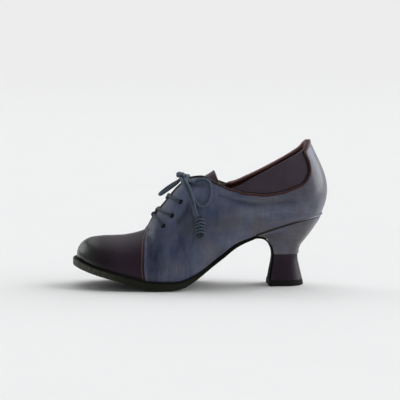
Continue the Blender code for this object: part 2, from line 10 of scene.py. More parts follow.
import bmesh
import bpy
import numpy as np
from bpy.props import FloatProperty, FloatVectorProperty, PointerProperty
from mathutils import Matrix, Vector

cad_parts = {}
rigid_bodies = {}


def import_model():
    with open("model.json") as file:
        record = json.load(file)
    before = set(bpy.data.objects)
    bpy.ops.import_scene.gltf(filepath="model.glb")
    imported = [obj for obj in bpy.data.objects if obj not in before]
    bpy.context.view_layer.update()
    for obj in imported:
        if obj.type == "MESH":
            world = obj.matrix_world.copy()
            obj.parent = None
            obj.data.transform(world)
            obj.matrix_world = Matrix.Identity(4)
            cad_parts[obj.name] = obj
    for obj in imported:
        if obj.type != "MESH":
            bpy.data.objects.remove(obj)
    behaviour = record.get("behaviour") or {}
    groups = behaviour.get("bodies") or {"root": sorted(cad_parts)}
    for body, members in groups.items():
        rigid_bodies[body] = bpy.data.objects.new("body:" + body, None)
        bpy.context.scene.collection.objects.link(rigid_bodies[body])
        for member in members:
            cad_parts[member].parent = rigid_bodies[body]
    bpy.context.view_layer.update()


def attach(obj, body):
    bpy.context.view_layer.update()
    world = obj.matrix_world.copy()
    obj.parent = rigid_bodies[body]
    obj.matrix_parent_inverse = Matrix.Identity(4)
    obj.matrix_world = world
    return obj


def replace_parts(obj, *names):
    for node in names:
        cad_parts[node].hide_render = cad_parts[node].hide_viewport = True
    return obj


bl_info = {
    "name": "Dress shoe",
    "version": (1, 0, 0),
    "blender": (4, 5, 0),
    "location": "3D View > Sidebar > Shoe",
    "description": "Builds leather, lace, sole and heel of a laced dress shoe around its solids",
    "category": "Add Mesh",
}

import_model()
BODY = "root"
MM = 0.001
SHIFT = np.array([-0.385, -2.038, 1.25])
LATERAL, MEDIAL = -1, 1
SIDE_NAMES = {LATERAL: "lateral", MEDIAL: "medial"}
UP = np.array([0.0, 0.0, 1.0])

# Sizes of the last and the ribs of the upper, as in the part's own source.
LENGTH, BALL_WIDTH, HEEL_HEIGHT, BACK_HEIGHT = 240.0, 78.0, 66.5, 137.5
RIB_COLUMNS = ("foot_x", "foot_z", "centre", "lateral", "medial", "face",
               "edge_x", "edge_z", "edge_half", "medial_drop", "flare", "lean", "pull")
RIBS = (
    (-48.5, 39.7, 9.0, 0.0, 0.0, 90, -40.4, 33.0, 0.0, 0.0, 6, 90, 1.22),
    (-47.9, 38.2, 9.0, 11.3, 10.3, 66, -39.8, 33.1, 0.0, 0.0, 6, 90, 1.22),
    (-45.8, 34.8, 8.7, 23.2, 21.2, 46, -38.5, 33.3, 0.0, 0.0, 6, 90, 1.18),
    (-42.1, 30.4, 8.1, 35.0, 32.0, 28, -36.5, 33.6, 0.0, 0.0, 7, 90, 1.12),
    (-36.7, 25.4, 6.8, 42.8, 41.0, 14, -33.1, 33.8, 0.0, 0.0, 8, 90, 1.12),
    (-29.6, 19.4, 4.9, 47.6, 47.2, 5, -28.1, 34.6, 0.0, 0.0, 8, 90, 1.08),
    (-22.3, 12.9, 2.8, 49.4, 50.8, 0, -21.5, 38.2, 0.0, 0.0, 8, 88, 1.08),
    (-15.4, 11.3, 1.3, 49.7, 50.3, 0, -18.3, 46.2, 4.5, 0.0, 8, 80, 1.0),
    (-8.3, 12.4, 0.5, 48.1, 46.8, 0, -13.8, 56.0, 6.4, 0.0, 8, 74, 1.0),
    (-1.7, 22.6, 0.0, 44.2, 40.4, 0, -8.5, 67.4, 9.0, 0.7, 12, 66, 1.0),
    (4.2, 37.6, 0.0, 39.7, 35.3, 0, -4.0, 73.8, 12.2, 1.7, 16, 58, 1.0),
    (9.2, 50.6, 0.0, 36.5, 32.4, 0, 2.5, 74.7, 21.8, 1.6, 18, 40, 1.0),
    (12.9, 60.2, 0.0, 35.0, 31.5, 0, 7.5, 71.6, 29.5, 0.0, 18, 28, 1.0),
    (17.1, 66.8, 0.0, 34.1, 31.4, 0, 12.9, 68.6, 33.3, -0.6, 16, 18, 1.0),
    (22.9, 74.0, 0.0, 33.8, 32.2, 0, 20.8, 75.5, 32.7, 0.9, 14, 14, 1.0),
    (29.6, 82.4, 0.0, 34.5, 33.7, 0, 28.3, 82.4, 30.8, 1.3, 13, 12, 1.0),
    (35.8, 89.5, 0.0, 34.6, 34.1, -6, 35.0, 88.3, 27.6, 0.6, 14, 12, 1.0),
    (41.3, 94.7, 0.0, 30.8, 30.8, -30, 40.4, 93.4, 21.8, -0.8, 18, 14, 1.1),
    (45.2, 98.0, 0.0, 21.2, 21.2, -58, 42.2, 97.5, 12.8, -0.6, 23, 20, 1.22),
    (47.9, 100.0, 0.0, 0.0, 0.0, -90, 42.9, 100.0, 0.0, 0.0, 26, 24, 1.3),
)
RIB_UNITS = dict(foot_x=LENGTH, foot_z=HEEL_HEIGHT, centre=BALL_WIDTH, lateral=BALL_WIDTH,
                 medial=BALL_WIDTH, edge_x=LENGTH, edge_z=BACK_HEIGHT, edge_half=BALL_WIDTH,
                 medial_drop=BACK_HEIGHT)
CHANGES_SIGN = ("lateral", "medial", "edge_half", "face")
RIB_TABLE = dict(zip(RIB_COLUMNS, np.array(RIBS, float).T))
BACK_RIB = len(RIBS) - 1
THROAT_RIB = 6.0
FOOT_TUCK = -0.014

# Sole along the ribs: height of the tread, how far the edge stands out, thickness of the welt.
SOLE_COLUMNS = ("rib", "tread_z", "margin", "welt")
SOLE = (
    (0.0, 18.8, 3.6, 2.3), (1.0, 18.1, 3.6, 2.3), (2.0, 16.2, 3.6, 2.3), (3.0, 13.3, 3.6, 2.3),
    (4.0, 9.8, 3.6, 2.3), (5.0, 5.6, 3.6, 2.3), (6.0, 0.6, 3.6, 2.3), (6.6, -1.25, 3.6, 2.3),
    (7.25, -1.25, 3.5, 2.1), (7.6, -0.75, 3.45, 2.05), (7.9, 0.15, 3.4, 2.0), (8.2, 1.65, 3.3, 1.9),
    (8.5, 4.4, 2.8, 1.7), (9.0, 9.3, 2.0, 1.2), (9.6, 15.9, 1.3, 0.6), (10.0, 20.1, 1.1, 0.0),
    (11.0, 29.0, 1.0, 0.0), (12.0, 36.0, 1.0, 0.0), (13.0, 41.5, 0.9, 0.0), (13.5, 44.1, 0.6, 0.0),
)
SOLE_TABLE = dict(zip(SOLE_COLUMNS, np.array(SOLE, float).T))
TOE_RIB, SOLE_END = 0.9, 13.5
SOLE_ROUND, TOE_ROUND, TOE_ROUND_RIBS, FLAP_ROUND, TOP_ROUND = 1.1, 1.8, 1.2, 0.6, 0.5
# Gap under the upper; then the welt's reach out and in, its last rib, the thickness from which it is
# skived, how far it rises into the gap and sinks into the sole, and the rounding of its corners.
GAP = 0.35
WELT_REACH, WELT_INSIDE, WELT_END, WELT_SKIVED, WELT_RISE, WELT_SINK = 2.9, 9.0, 9.6, 0.6, 0.15, 0.25
WELT_ROUND = (0.7, 0.9, 0.3, 0.3)
# How much of the welt's edge the sole's edge hides along the ribs.
WELT_HIDDEN = ((0.0, 1.35), (3.0, 1.35), (6.0, 0.8), (7.5, 0.35), (13.5, 0.35))
# Flap of the outsole down the heel's breast: front x and z, back x and z, half width.
FLAP = (
    (50.9, 45.4, 51.5, 47.2, 25.6), (55.3, 45.1, 55.8, 46.9, 23.4), (59.6, 43.3, 60.5, 44.7, 17.6),
    (64.0, 39.4, 64.9, 40.2, 12.4), (67.2, 34.1, 68.0, 34.4, 9.0), (68.6, 28.0, 69.4, 28.0, 7.5),
    (68.2, 21.9, 68.9, 21.9, 7.4), (66.8, 13.8, 67.6, 13.8, 9.0), (65.3, 3.9, 66.1, 3.9, 11.2),
)

# Levels of the heel: breast x and z, back x and z, half width.
HEEL_COVER = (
    (51.8, 47.6, 116.2, 66.1, 27.5), (56.0, 47.3, 113.4, 60.2, 25.2),
    (60.8, 45.1, 107.2, 50.8, 20.4),
    (65.2, 40.5, 100.8, 42.4, 15.4), (68.4, 34.7, 95.9, 35.8, 11.6), (69.8, 28.2, 94.0, 28.2, 9.9),
)
HEEL_CUFF = (
    (69.7, 27.8, 93.3, 27.8, 9.5), (69.3, 22.0, 93.6, 22.0, 9.9), (68.0, 14.0, 95.4, 14.0, 11.8),
    (66.5, 3.9, 97.9, 3.9, 14.6),
)
TOP_LIFT = ((65.1, 3.5, 98.1, 3.5, 15.0), (64.7, -1.25, 98.8, -1.25, 15.6))
SEAT_PROUD, SEAT_INSET = 0.7, -0.35
# Folded lower edge of the heel's cover: swell, place down the cover, spread. Then the share of the
# cover that blends into the seat, and how far it rises there.
COVER_FOLD = ((0.15, 0.975, 0.022), (-0.3, 0.9, 0.015))
COVER_BLEND, COVER_RISE = 0.12, 0.25
# Rounded edges of the top lift: share of its height, and how far its outline stands out there.
LIFT_EDGES = ((0.0, -0.5), (0.04, -0.15), (0.12, 0.0), (0.5, 0.0), (0.9, 0.0), (0.97, -0.15),
              (1.0, -0.5))
# Beads along the heel seat: finish, rise, how far out, how much further out at the back, radius. The
# groove is a black strip of painted shade under the upper's edge; the rim's finish paints a highlight at
# the back.
SEAT_BEADS = dict(seat_rim=("seat_edge", 0.3, 0.15, 1.3, 0.7),
                  seat_groove=("welt", -0.55, -0.05, 0.6, 0.65))
SEAT_LIP_SPREAD = 1.6
# How far up the ribs the wall stops at the heel seat, and how far the sole's edge laps up the waist.
SEAT_RISE = ((12.8, 0.0), (13.5, 0.032), (14.5, 0.028), (15.6, 0.022), (16.5, 0.018), (17.2, 0.01),
             (18.2, 0.0), (19.0, 0.0))
WAIST_LAP = ((0.0, 0.0), (9.0, 0.0), (10.0, 0.6), (11.0, 0.9), (13.5, 1.2))

# Outlines of the panels on the wall: tops as rib and height up the rib, the quarter's front and the
# back of its scoop as height and rib.
QUARTER_FRONT = ((0.0, 5.98), (0.12, 5.93), (0.31, 5.91), (0.56, 5.915), (0.72, 5.98), (0.86, 6.12),
                 (1.0, 6.3))
QUARTER_TOP = ((6.0, 1.0), (9.0, 1.0), (10.4, 1.0), (10.85, 0.995), (11.27, 0.956), (12.07, 0.95),
               (12.9, 0.944), (13.46, 0.806), (14.29, 0.638), (15.03, 0.556), (15.69, 0.525),
               (16.4, 0.525), (16.96, 0.581))
SCOOP_BACK = ((0.581, 16.96), (0.681, 17.26), (0.763, 17.29), (0.86, 17.2), (0.956, 17.05),
              (1.0, 17.12))
PANEL_TOP = ((12.5, 0.92), (12.75, 0.955), (12.95, 1.0), (17.4, 1.0))
LINING_TOP = ((0.0, 1.0), (10.85, 1.0), (11.27, 0.956), (12.6, 0.95), (12.95, 1.0), (19.0, 1.0))
PANEL_RIBS = (12.55, 17.45)
PANEL_UNDER, VAMP_UNDER, BACK_TOP = 0.07, 0.45, 0.985
QUARTER_LIFT, VAMP_LIFT, PANEL_LIFT, LINING_LIFT = 0.5, -0.1, -0.8, -2.2
# The last number turns a crease's depth into painted shade, through the rim attribute.
BACK_SEAM_DEPTH, BACK_SEAM_SPREAD, CREASE_SHADE = 0.45, 0.05, 1.3
RIB_STEP_MM, RIB_HEIGHT_MM, QUARTER_MM, EDGE_RUB_MM, FRONT_RUB_MM = 14.0, 65.0, 190.0, 2.5, 3.0

# Rolled and painted edges of the panels: finish, radius, height over the wall, way in from the edge.
# The collar's groove is a dark strip of painted shade, its thin cord a painted highlight on the piping.
BEADS = dict(
    facing_piping=("facing", 0.95, -0.1, 0.0), collar_groove=("hole", 0.5, -0.55, 1.55),
    collar_cord=("edge_pink", 0.3, 0.75, 0.8), front_edge=("edge_red", 0.72, 0.1, 0.0),
    front_cord=("edge_pink", 0.55, -0.25, 0.0))
FRONT_CORD_BEFORE = 0.1
BEAD_UPRIGHT, PIPING_UPRIGHT = (0.7, 0.5, 0.1), (0.0, 1.0, 0.25)
FACING_RIBS, EDGE_RIB, SCOOP_RIB, SCOOP_TOP = (6.32, 10.1), 10.0, 12.95, 0.97
PIPING_LIFT, PIPING_SWELL, PIPING_SWELL_MM, PIPING_STEP = 0.15, 0.35, 7.0, 0.9
# Where the collar's piping starts to lie lower, and over which way: height up the rib, then rib.
PIPING_HIGH, PIPING_BEHIND = (0.93, 0.07), (10.9, 0.5)
FOLD_RIBS, FOLD_RADIUS, FOLD_INSET = (12.72, 17.2), 0.62, 0.5
ROLL_RIB, ROLL_RADIUS, ROLL_INSET = 11.0, 1.6, {LATERAL: -0.6, MEDIAL: 0.3}
INSOLE_RISE, INSOLE_DISH, INSOLE_HALF_MM = 2.4, 0.7, 30.0
LINING_THICK, INSOLE_THICK, TONGUE_THICK = 0.4, 1.6, 1.5
STITCH_RADIUS, STITCH_SINK, STITCH_ARCH, STITCH_PITCH, STITCH_BEHIND = 0.26, 0.2, 0.42, 1.35, 0.24
# Tack at the throat: rib and height of its start, then the way to its end.
TACK = ((6.12, 0.9), (0.62, -0.2))

# Soft creases of the wall: rib and height of both ends, width and depth in millimetres.
CREASE_COLUMNS = ("rib_a", "up_a", "rib_b", "up_b", "width", "depth")
CREASES = (
    (8.45, 0.6, 9.1, 0.635, 2.6, 0.7),
    (9.1, 0.635, 9.4, 0.68, 2.6, 0.7),
    (10.05, 0.87, 10.6, 0.86, 2.4, 0.6),
    (11.7, 0.77, 12.76, 0.765, 2.2, 0.55),
    (12.76, 0.765, 13.9, 0.56, 2.4, 0.5),
    (13.9, 0.56, 16.0, 0.365, 3.2, 0.35),
    (6.55, 0.64, 6.4, 0.2, 3.4, 0.25),
    (10.9, 0.42, 11.6, 0.25, 6.0, 0.3),
    (16.9, 0.3, 17.6, 0.1, 5.0, 0.25),
)

# Lace holes: rib and height of each. Their walls: height over the leather and share of the radius.
LACE_HOLES = ((7.56, 0.68), (8.23, 0.715), (8.9, 0.775), (9.7, 0.865))
HOLE_RIBS, HOLE_UPS = np.array(LACE_HOLES).T
HOLE_WALL = ((0.06, 1.16), (0.12, 1.06), (0.0, 0.97), (-1.2, 0.95), (-2.6, 0.95), (-2.9, 0.0))
THROAT_SHARE = 0.4
WALL, TONGUE_CLEAR = 2.0, 0.8

# Strands of the lace by hole and side. They start as rib past the hole before, place across the throat
# and height: the first pair out of its holes, the second from under the facings.
STRAND_STARTS = {
    (1, LATERAL): ((0.0, -1.02, -3.2), (0.0, -1.0, -1.0), (-0.03, -0.98, 0.7), (-0.1, -0.86, 1.4),
                   (-0.12, -0.72, 2.4), (-0.06, -0.5, 2.0), (0.05, 0.0, 0.9)),
    (1, MEDIAL): ((-0.06, -0.96, -3.2), (-0.07, -0.95, -1.2), (-0.11, -0.91, 0.3), (-0.19, -0.8, 1.3),
                  (-0.32, -0.6, 1.5), (-0.44, -0.4, 1.5), (-0.46, 0.0, 1.0)),
    (2, LATERAL): ((0.1, -0.95, -3.0), (-0.1, -0.62, -2.6), (-0.13, -0.42, -2.0), (-0.05, -0.25, -0.6),
                   (0.01, 0.0, 1.1)),
    (2, MEDIAL): ((0.1, -0.95, -3.0), (-0.1, -0.62, -2.6), (-0.13, -0.42, -2.0), (-0.05, -0.25, -0.6),
                  (0.01, 0.0, 0.3)),
}
# Then down into the hole: shares of the strand's lean and sag before it, place across, height.
STRAND_END = ((1.0, 1.0, 0.34, 1.5), (0.85, 0.9, 0.52, 1.4), (0.5, 0.0, 0.75, 1.4),
              (0.3, 0.0, 0.85, 1.2), (0.17, 0.0, 0.915, 0.1), (0.12, 0.0, 0.94, -1.4),
              (0.1, 0.0, 0.95, -3.2))
STRAND_LEAN = {1: 0.66, 2: 0.5}
STRAND_SAG = {(1, MEDIAL): 0.42}
# From the last holes to the knot: rib, place across and height, then the place under the knot.
LAST_STRAND = ((9.7, 1.02, -3.0), (9.7, 1.0, 0.0), (9.7, 0.9, 1.4), (9.7, 0.65, 1.5), (9.68, 0.42, 1.9))
UNDER_KNOT = (0.6, 2.2, -1.6)
LACE_STEP, LACE_UPRIGHT = 0.7, (0.62, 0.0, 0.78)
RING_BEFORE, RING_ACROSS, RING_RADIUS, RING_CORD, RING_TILT = 0.39, -0.4, 1.8, 0.75, 0.12

# The bow, as in the part's own source. A turn of the knot: place, slant, height, thickness in radii
# of the lace. The core: its ends along the knot's axis.
KNOT_AT = np.array([-15.6, -1.6, 102.8])
KNOT_RADII = np.array([6.8, 4.6, 3.1])
KNOT_DIP = math.radians(17.0)
KNOT_CLEAR = 0.9
KNOT_TURNS = ((-4.2, 0.4, 1.0, 1.45), (-0.3, -0.7, 1.3, 1.35), (3.8, 0.5, 1.0, 1.45))
KNOT_WIDE, KNOT_CORE, KNOT_CORE_THICK = 2.3, (-4.6, 4.2), 1.75
KNOT_EXITS = dict(
    loop_out=(0.75, -0.6, -0.3), loop_back=(0.4, -0.9, -0.1), front=(-0.35, -0.85, -0.4),
    rear=(0.05, -0.9, -0.43), medial_out=(-0.35, 0.3, -0.85), medial_back=(-0.15, 0.75, -0.6))
# Routes on the lateral wall: rib, height up the rib, height over the wall.
ON_WALL = 1.7
LOOP_LATERAL = (
    (10.02, 0.9, 2.6), (10.36, 0.925, 2.0), (10.7, 0.95, ON_WALL), (10.985, 0.94, ON_WALL),
    (11.15, 0.895, ON_WALL), (11.12, 0.815, ON_WALL), (10.985, 0.735, ON_WALL), (10.79, 0.67, ON_WALL),
    (10.51, 0.615, ON_WALL), (10.2, 0.595, ON_WALL), (10.02, 0.62, ON_WALL), (9.92, 0.675, ON_WALL),
    (9.88, 0.72, 1.5), (9.85, 0.775, 1.5), (9.82, 0.835, 1.6), (9.8, 0.895, 2.2))
END_FRONT = (
    (9.51, 0.945, 3.4), (9.6, 0.85, 3.5), (9.645, 0.775, 3.4), (9.645, 0.715, 3.2), (9.63, 0.655, 2.6),
    (9.585, 0.6, 2.1), (9.54, 0.55, ON_WALL), (9.57, 0.515, 2.0))
END_REAR = (
    (9.78, 0.91, 3.8), (9.84, 0.83, 3.8), (9.85, 0.76, 3.7), (9.82, 0.705, 3.4), (9.765, 0.645, 2.8),
    (9.7, 0.59, 2.1), (9.68, 0.54, ON_WALL), (9.72, 0.51, 2.0))
LOOP_MEDIAL = ((-22.5, 0.6, 95.1), (-27.5, 1.4, 91.4), (-32.4, 2.8, 87.7), (-36.2, 5.2, 84.9),
               (-37.6, 7.8, 84.6), (-35.7, 10.2, 86.2), (-31.0, 11.0, 89.9), (-25.6, 9.6, 93.7),
               (-20.8, 6.2, 96.9))
SENNIT_RIB, SENNIT_UP, SENNIT_LIFT = 9.64, 0.425, 3.0
SENNIT_TURNS, SENNIT_PITCH, SENNIT_SWAY, SENNIT_CORD = 5, 2.95, 0.25, 0.62
# One turn of the tassel, and its core strands as place across and lower end.
SENNIT_ROOF = ((-2.6, -1.2, -1.2), (-4.2, -0.4, -1.3), (-4.3, 0.7, -1.0), (-2.3, 1.6, -0.2),
               (0.0, 1.8, 0.6), (2.3, 1.6, -0.2), (4.3, 0.7, -1.0), (4.2, -0.4, -1.3),
               (2.6, -1.2, -1.2))
SENNIT_CORES = ((-2.2, -9.0), (0.0, -10.2), (2.2, -9.4))

# Free top of the tongue past its last rib: how far back and up, droop of its sides, share of width.
TONGUE_RIBS = (5.4, 9.8)
TONGUE_TOP = ((0.0, 0.0, 0.0, 1.0), (9.5, 1.2, 1.6, 0.92), (16.0, 3.8, 4.0, 0.90),
              (23.6, 8.4, 6.2, 0.90))
TONGUE_FALL, TONGUE_COLUMNS, BINDING_ROW, BINDING_RADIUS, BINDING_DROP = 1.5, 49, 30, 0.8, 0.6

# Camera as fitted to the photograph's frame: direction in degrees, distance and aim in millimetres.
CAMERA = dict(azimuth=-4.2, elevation=6.2, distance=1700.0, aim=(0.0, 0.0, 80.65), frame_mm=378.9)

# Lamps: azimuth and elevation of the side they shine from, their width in degrees and strength.
LAMPS = dict(overhead=(180.0, 66.0, 56.0, 1.03), heel_side=(95.0, 25.0, 66.0, 3.35),
             toe_side=(-124.0, 26.0, 34.0, 0.52))
ROOM_LIGHT = 0.245
ROOM_TINT, LAMP_TINT = (0.94, 0.97, 1.0, 1.0), (0.96, 0.98, 1.0)
BACKDROP, FLOOR_TONE = (0.845, 0.845, 0.85), (0.815, 0.804, 0.79)
# Sweep of the floor in metres: front edge, start and radius of the bend, top, half width, drop.
SWEEP = (-8.0, 10.0, 4.0, 9.0, 14.0, 0.0003)
# Soft painted shade of the floor under the forefoot, in metres: middle and reach along and across,
# strength.
FLOOR_SHADE = dict(x=-0.05, along=0.055, y=0.004, across=0.029, strength=0.54)


class ShoeSizes(bpy.types.PropertyGroup):
    """Sizes of the sewn details."""
    lace: FloatProperty(name="Lace", description="Diameter of the round waxed lace",
                        default=2.9 * MM, min=1.2 * MM, max=4 * MM, unit="LENGTH")
    hole: FloatProperty(name="Lace hole", description="Radius of a punched lace hole",
                        default=2.05 * MM, min=1 * MM, max=4 * MM, unit="LENGTH")
    piping: FloatProperty(name="Piping", description="Radius of the rolled piping along the collar",
                          default=1.2 * MM, min=0.3 * MM, max=2 * MM, unit="LENGTH")
    stitch: FloatProperty(name="Stitch", description="Length of one stitch on the surface",
                          default=2.2 * MM, min=1 * MM, max=5 * MM, unit="LENGTH")
    leather: FloatProperty(name="Leather", description="Thickness of an outer leather panel",
                           default=1.1 * MM, min=0.5 * MM, max=2 * MM, unit="LENGTH")


def colour(title, words, red, green, blue):
    """Colour property with its title, description and linear default."""
    return FloatVectorProperty(name=title, description=words, subtype="COLOR", size=3, min=0.0,
                               max=1.0, default=(red, green, blue))


class ShoeColours(bpy.types.PropertyGroup):
    """Linear colours of the leathers, lace and sole."""
    blue: colour("Blue", "Deep tone of the burnished blue leather", 0.018, 0.036, 0.1)
    # The pale tone serves the worn edges and also the painted highlights under the bow and on the
    # facings.
    pale: colour("Pale blue", "Rubbed tone of the blue leather", 0.09, 0.108, 0.175)
    brown: colour("Brown cast", "Warm grey clouds in the blue leather", 0.062, 0.053, 0.058)
    plum: colour("Plum", "Embossed leather of vamp, collar and heel cuff", 0.038, 0.0215, 0.036)
    black: colour("Burnish", "Black burnish of the toe", 0.011, 0.0105, 0.0095)
    burgundy: colour("Piping", "Rolled piping along the collar", 0.042, 0.012, 0.013)
    edge_red: colour("Edge red", "Painted front edge of the quarters", 0.03, 0.005, 0.007)
    # The edge cord tone also serves the painted highlight cord on the collar piping and the painted
    # highlight along the far topline.
    edge_pink: colour("Edge cord", "Thin cord in front of the quarters", 0.13, 0.075, 0.072)
    facing: colour("Facing edge", "Dark piping of the facings", 0.018, 0.009, 0.007)
    collar: colour("Collar", "Paler plum of the collar panels and tongue", 0.062, 0.044, 0.06)
    # The seat tone paints a highlight along the back of the heel seat's edge.
    seat: colour("Seat edge", "Rubbed edge of the upper over the heel seat", 0.19, 0.195, 0.22)
    lining: colour("Lining", "Reddish brown lining", 0.105, 0.047, 0.036)
    lace: colour("Lace", "Waxed blue-grey cord", 0.07, 0.1, 0.145)
    sole: colour("Sole edge", "Olive black edge of the outsole", 0.026, 0.028, 0.0195)
    worn_edge: colour("Worn edge", "Grey of the sole edge at the toe", 0.03, 0.0305, 0.0255)
    rubber: colour("Top lift", "Black rubber of the top lift and welt", 0.0085, 0.0088, 0.0075)


def hermite(start, end, leave, arrive, f):
    """Cubic between two values, leaving start with one slope and arriving at end with the other."""
    first = (start * (1 + 2 * f) + leave * f) * (1 - f) ** 2
    return first + (end * (3 - 2 * f) - arrive * (1 - f)) * f ** 2


def rib_values(u):
    """Smooth cubic through the rib rows. Columns that change sign at the toe tip and at the back keep
    their slope there, the others arrive level, so that both ends are round."""
    u = np.clip(np.asarray(u, float), 0.0, BACK_RIB)
    row = np.minimum(u.astype(int), BACK_RIB - 1)
    values = {}
    for name, p in RIB_TABLE.items():
        slope = np.gradient(p)
        if name not in CHANGES_SIGN:
            slope[0] = slope[-1] = 0.0
        curve = hermite(p[row], p[row + 1], slope[row], slope[row + 1], u - row)
        values[name] = curve * RIB_UNITS.get(name, 100.0) / 100.0
    values["edge_half"] = np.maximum(values["edge_half"], 0.0)
    return values


def table_curve(table, x):
    """Cubic through a table of x and y that never overshoots its rows: the slope at a row is the
    harmonic mean of the slopes on both sides, or zero where they differ in sign."""
    xs, ys = np.array(table, float).T[:2]
    step = np.diff(xs)
    secant = np.diff(ys) / step
    same = secant[:-1] * secant[1:] > 0
    total = np.where(same, secant[:-1] + secant[1:], 1.0)
    slope = np.zeros_like(ys)
    slope[1:-1] = np.where(same, 2 * secant[:-1] * secant[1:] / total, 0.0)
    slope[-1] = secant[-1]
    x = np.clip(np.asarray(x, float), xs[0], xs[-1])
    row = np.clip(np.searchsorted(xs, x, side="right") - 1, 0, len(xs) - 2)
    f = (x - xs[row]) / step[row]
    return hermite(ys[row], ys[row + 1], slope[row] * step[row], slope[row + 1] * step[row], f)


def sole_value(name, u):
    """A column of the sole table at rib u."""
    return table_curve(np.stack([SOLE_TABLE["rib"], SOLE_TABLE[name]], axis=-1), u)


def foot_point(u, side, outward=0.0):
    """Point where the wall meets the sole, moved outward in plan along the way the wall faces."""
    rib = rib_values(u)
    face = np.radians(rib["face"])
    width = np.where(np.asarray(side) < 0, rib["lateral"], rib["medial"])
    x = rib["foot_x"] - np.sin(face) * outward
    y = rib["centre"] + side * (width + np.cos(face) * outward)
    return np.stack(np.broadcast_arrays(x, y, rib["foot_z"]), axis=-1)


def platform_z(x):
    """Height of the foot line at a place along the shoe."""
    rib = rib_values(np.linspace(0, BACK_RIB, 400))
    return np.interp(x, rib["foot_x"], rib["foot_z"])


def upper_point(u, t, side):
    """Outer face of the upper at rib u and at t up the rib: a cubic from the foot, leaving with the
    flare, to the edge, arriving with the lean."""
    u, t, side = np.broadcast_arrays(*(np.asarray(v, float) for v in (u, t, side)))
    rib = rib_values(u)
    foot = foot_point(u, side)
    edge_z = rib["edge_z"] - np.where(side > 0, rib["medial_drop"], 0.0)
    edge = np.stack([rib["edge_x"], rib["centre"] + side * rib["edge_half"], edge_z], axis=-1)
    face, flare, lean = (np.radians(rib[name])[..., None] for name in ("face", "flare", "lean"))
    out = [-np.sin(face), side[..., None] * np.cos(face), np.zeros_like(face)]
    out = np.concatenate(out, axis=-1)
    reach = (rib["pull"] * np.linalg.norm(edge - foot, axis=-1))[..., None]
    leave = reach * (np.sin(flare) * out + np.cos(flare) * UP)
    arrive = reach * (-np.sin(lean) * out + np.cos(lean) * UP)
    return hermite(foot, edge, leave, arrive, t[..., None])


def unit(v):
    """Vectors scaled to length one."""
    return v / np.maximum(np.linalg.norm(v, axis=-1, keepdims=True), 1e-12)


def upper_normal(u, t, side):
    """Unit vector out of the upper, the cross product of small steps along and up the wall."""
    u, t, side = np.broadcast_arrays(*(np.asarray(v, float) for v in (u, t, side)))
    step = 0.01
    u = np.clip(u, step, BACK_RIB - step)
    t = np.clip(t, step, 1 - step)
    along = upper_point(u + step, t, side) - upper_point(u - step, t, side)
    rise = upper_point(u, t + step, side) - upper_point(u, t - step, side)
    return unit(-side[..., None] * np.cross(along, rise))


def crease_depth(points, side):
    """Depth of the soft creases at points of the wall: each crease is a trough along the line between
    its ends, its depth falls off as exp(-(distance / width)^2), and the deepest one counts."""
    side = np.broadcast_to(np.asarray(side, float), points.shape[:-1])
    depth = np.zeros(points.shape[:-1])
    for crease in (dict(zip(CREASE_COLUMNS, row)) for row in CREASES):
        for way in SIDE_NAMES:
            a = upper_point(crease["rib_a"], crease["up_a"], way)
            b = upper_point(crease["rib_b"], crease["up_b"], way)
            share = np.clip((points - a) @ (b - a) / ((b - a) @ (b - a)), 0, 1)[..., None]
            away = np.linalg.norm(points - a - share * (b - a), axis=-1)
            trough = crease["depth"] * np.exp(-(away / crease["width"]) ** 2)
            depth = np.maximum(depth, np.where(side == way, trough, 0.0))
    return depth


def wall(u, t, side, lift=0.0):
    """Point at a height over the creased outer face of the upper, or inside it for a negative lift."""
    point = upper_point(u, t, side)
    height = np.asarray(lift, float) - crease_depth(point, side)
    return point + height[..., None] * upper_normal(u, t, side)


def throat_point(u, across, lift):
    """Point over the throat: across runs from -1, at the lateral row of holes, to 1 at the medial row.
    Beyond the facing edges it lies on the wall, and between them on a parabolic arch."""
    u, across, lift = np.broadcast_arrays(*(np.asarray(v, float) for v in (u, across, lift)))
    share = np.maximum(THROAT_SHARE * np.clip(u - THROAT_RIB, 0.0, 1.0), 1e-6)
    side = np.where(across < 0, LATERAL, MEDIAL)
    hole_up = np.interp(u, HOLE_RIBS, HOLE_UPS)
    part = np.clip((np.abs(across) - share) / (1 - share), 0.0, None)
    on_wall = wall(u, 1 - (1 - hole_up) * part, side, lift)
    edges = [wall(u, np.ones_like(u), way, lift) for way in SIDE_NAMES]
    a = np.clip(across / share, -1, 1)
    arch = edges[0] + (edges[1] - edges[0]) * (0.5 + 0.5 * a)[..., None]
    slope = np.tan(np.radians(rib_values(u)["lean"]))
    arch[..., 2] += 0.25 * np.abs(edges[1] - edges[0])[..., 1] / slope * (1 - a ** 2)
    return np.where((np.abs(across) >= share)[..., None], on_wall, arch)


def smooth_curve(points, count):
    """Cubic through points with central slopes, at evenly spaced parameters."""
    points = np.asarray(points, float)
    slope = np.gradient(points, axis=0)
    place = np.linspace(0, len(points) - 1, count)
    row = np.minimum(place.astype(int), len(points) - 2)
    return hermite(points[row], points[row + 1], slope[row], slope[row + 1], (place - row)[:, None])


def run_length(path):
    """Length along a path up to each of its points."""
    return np.concatenate([[0.0], np.cumsum(np.linalg.norm(np.diff(path, axis=0), axis=-1))])


def even_path(points, spacing):
    """The smooth curve through points, with points at even lengths along it."""
    fine = smooth_curve(points, 24 * len(points))
    run = run_length(fine)
    even = np.linspace(0, run[-1], max(6, int(run[-1] / spacing) + 1))
    return np.stack([np.interp(even, run, fine[:, k]) for k in range(3)], axis=-1)


MERGE, SHARP = 0.004, math.radians(50)


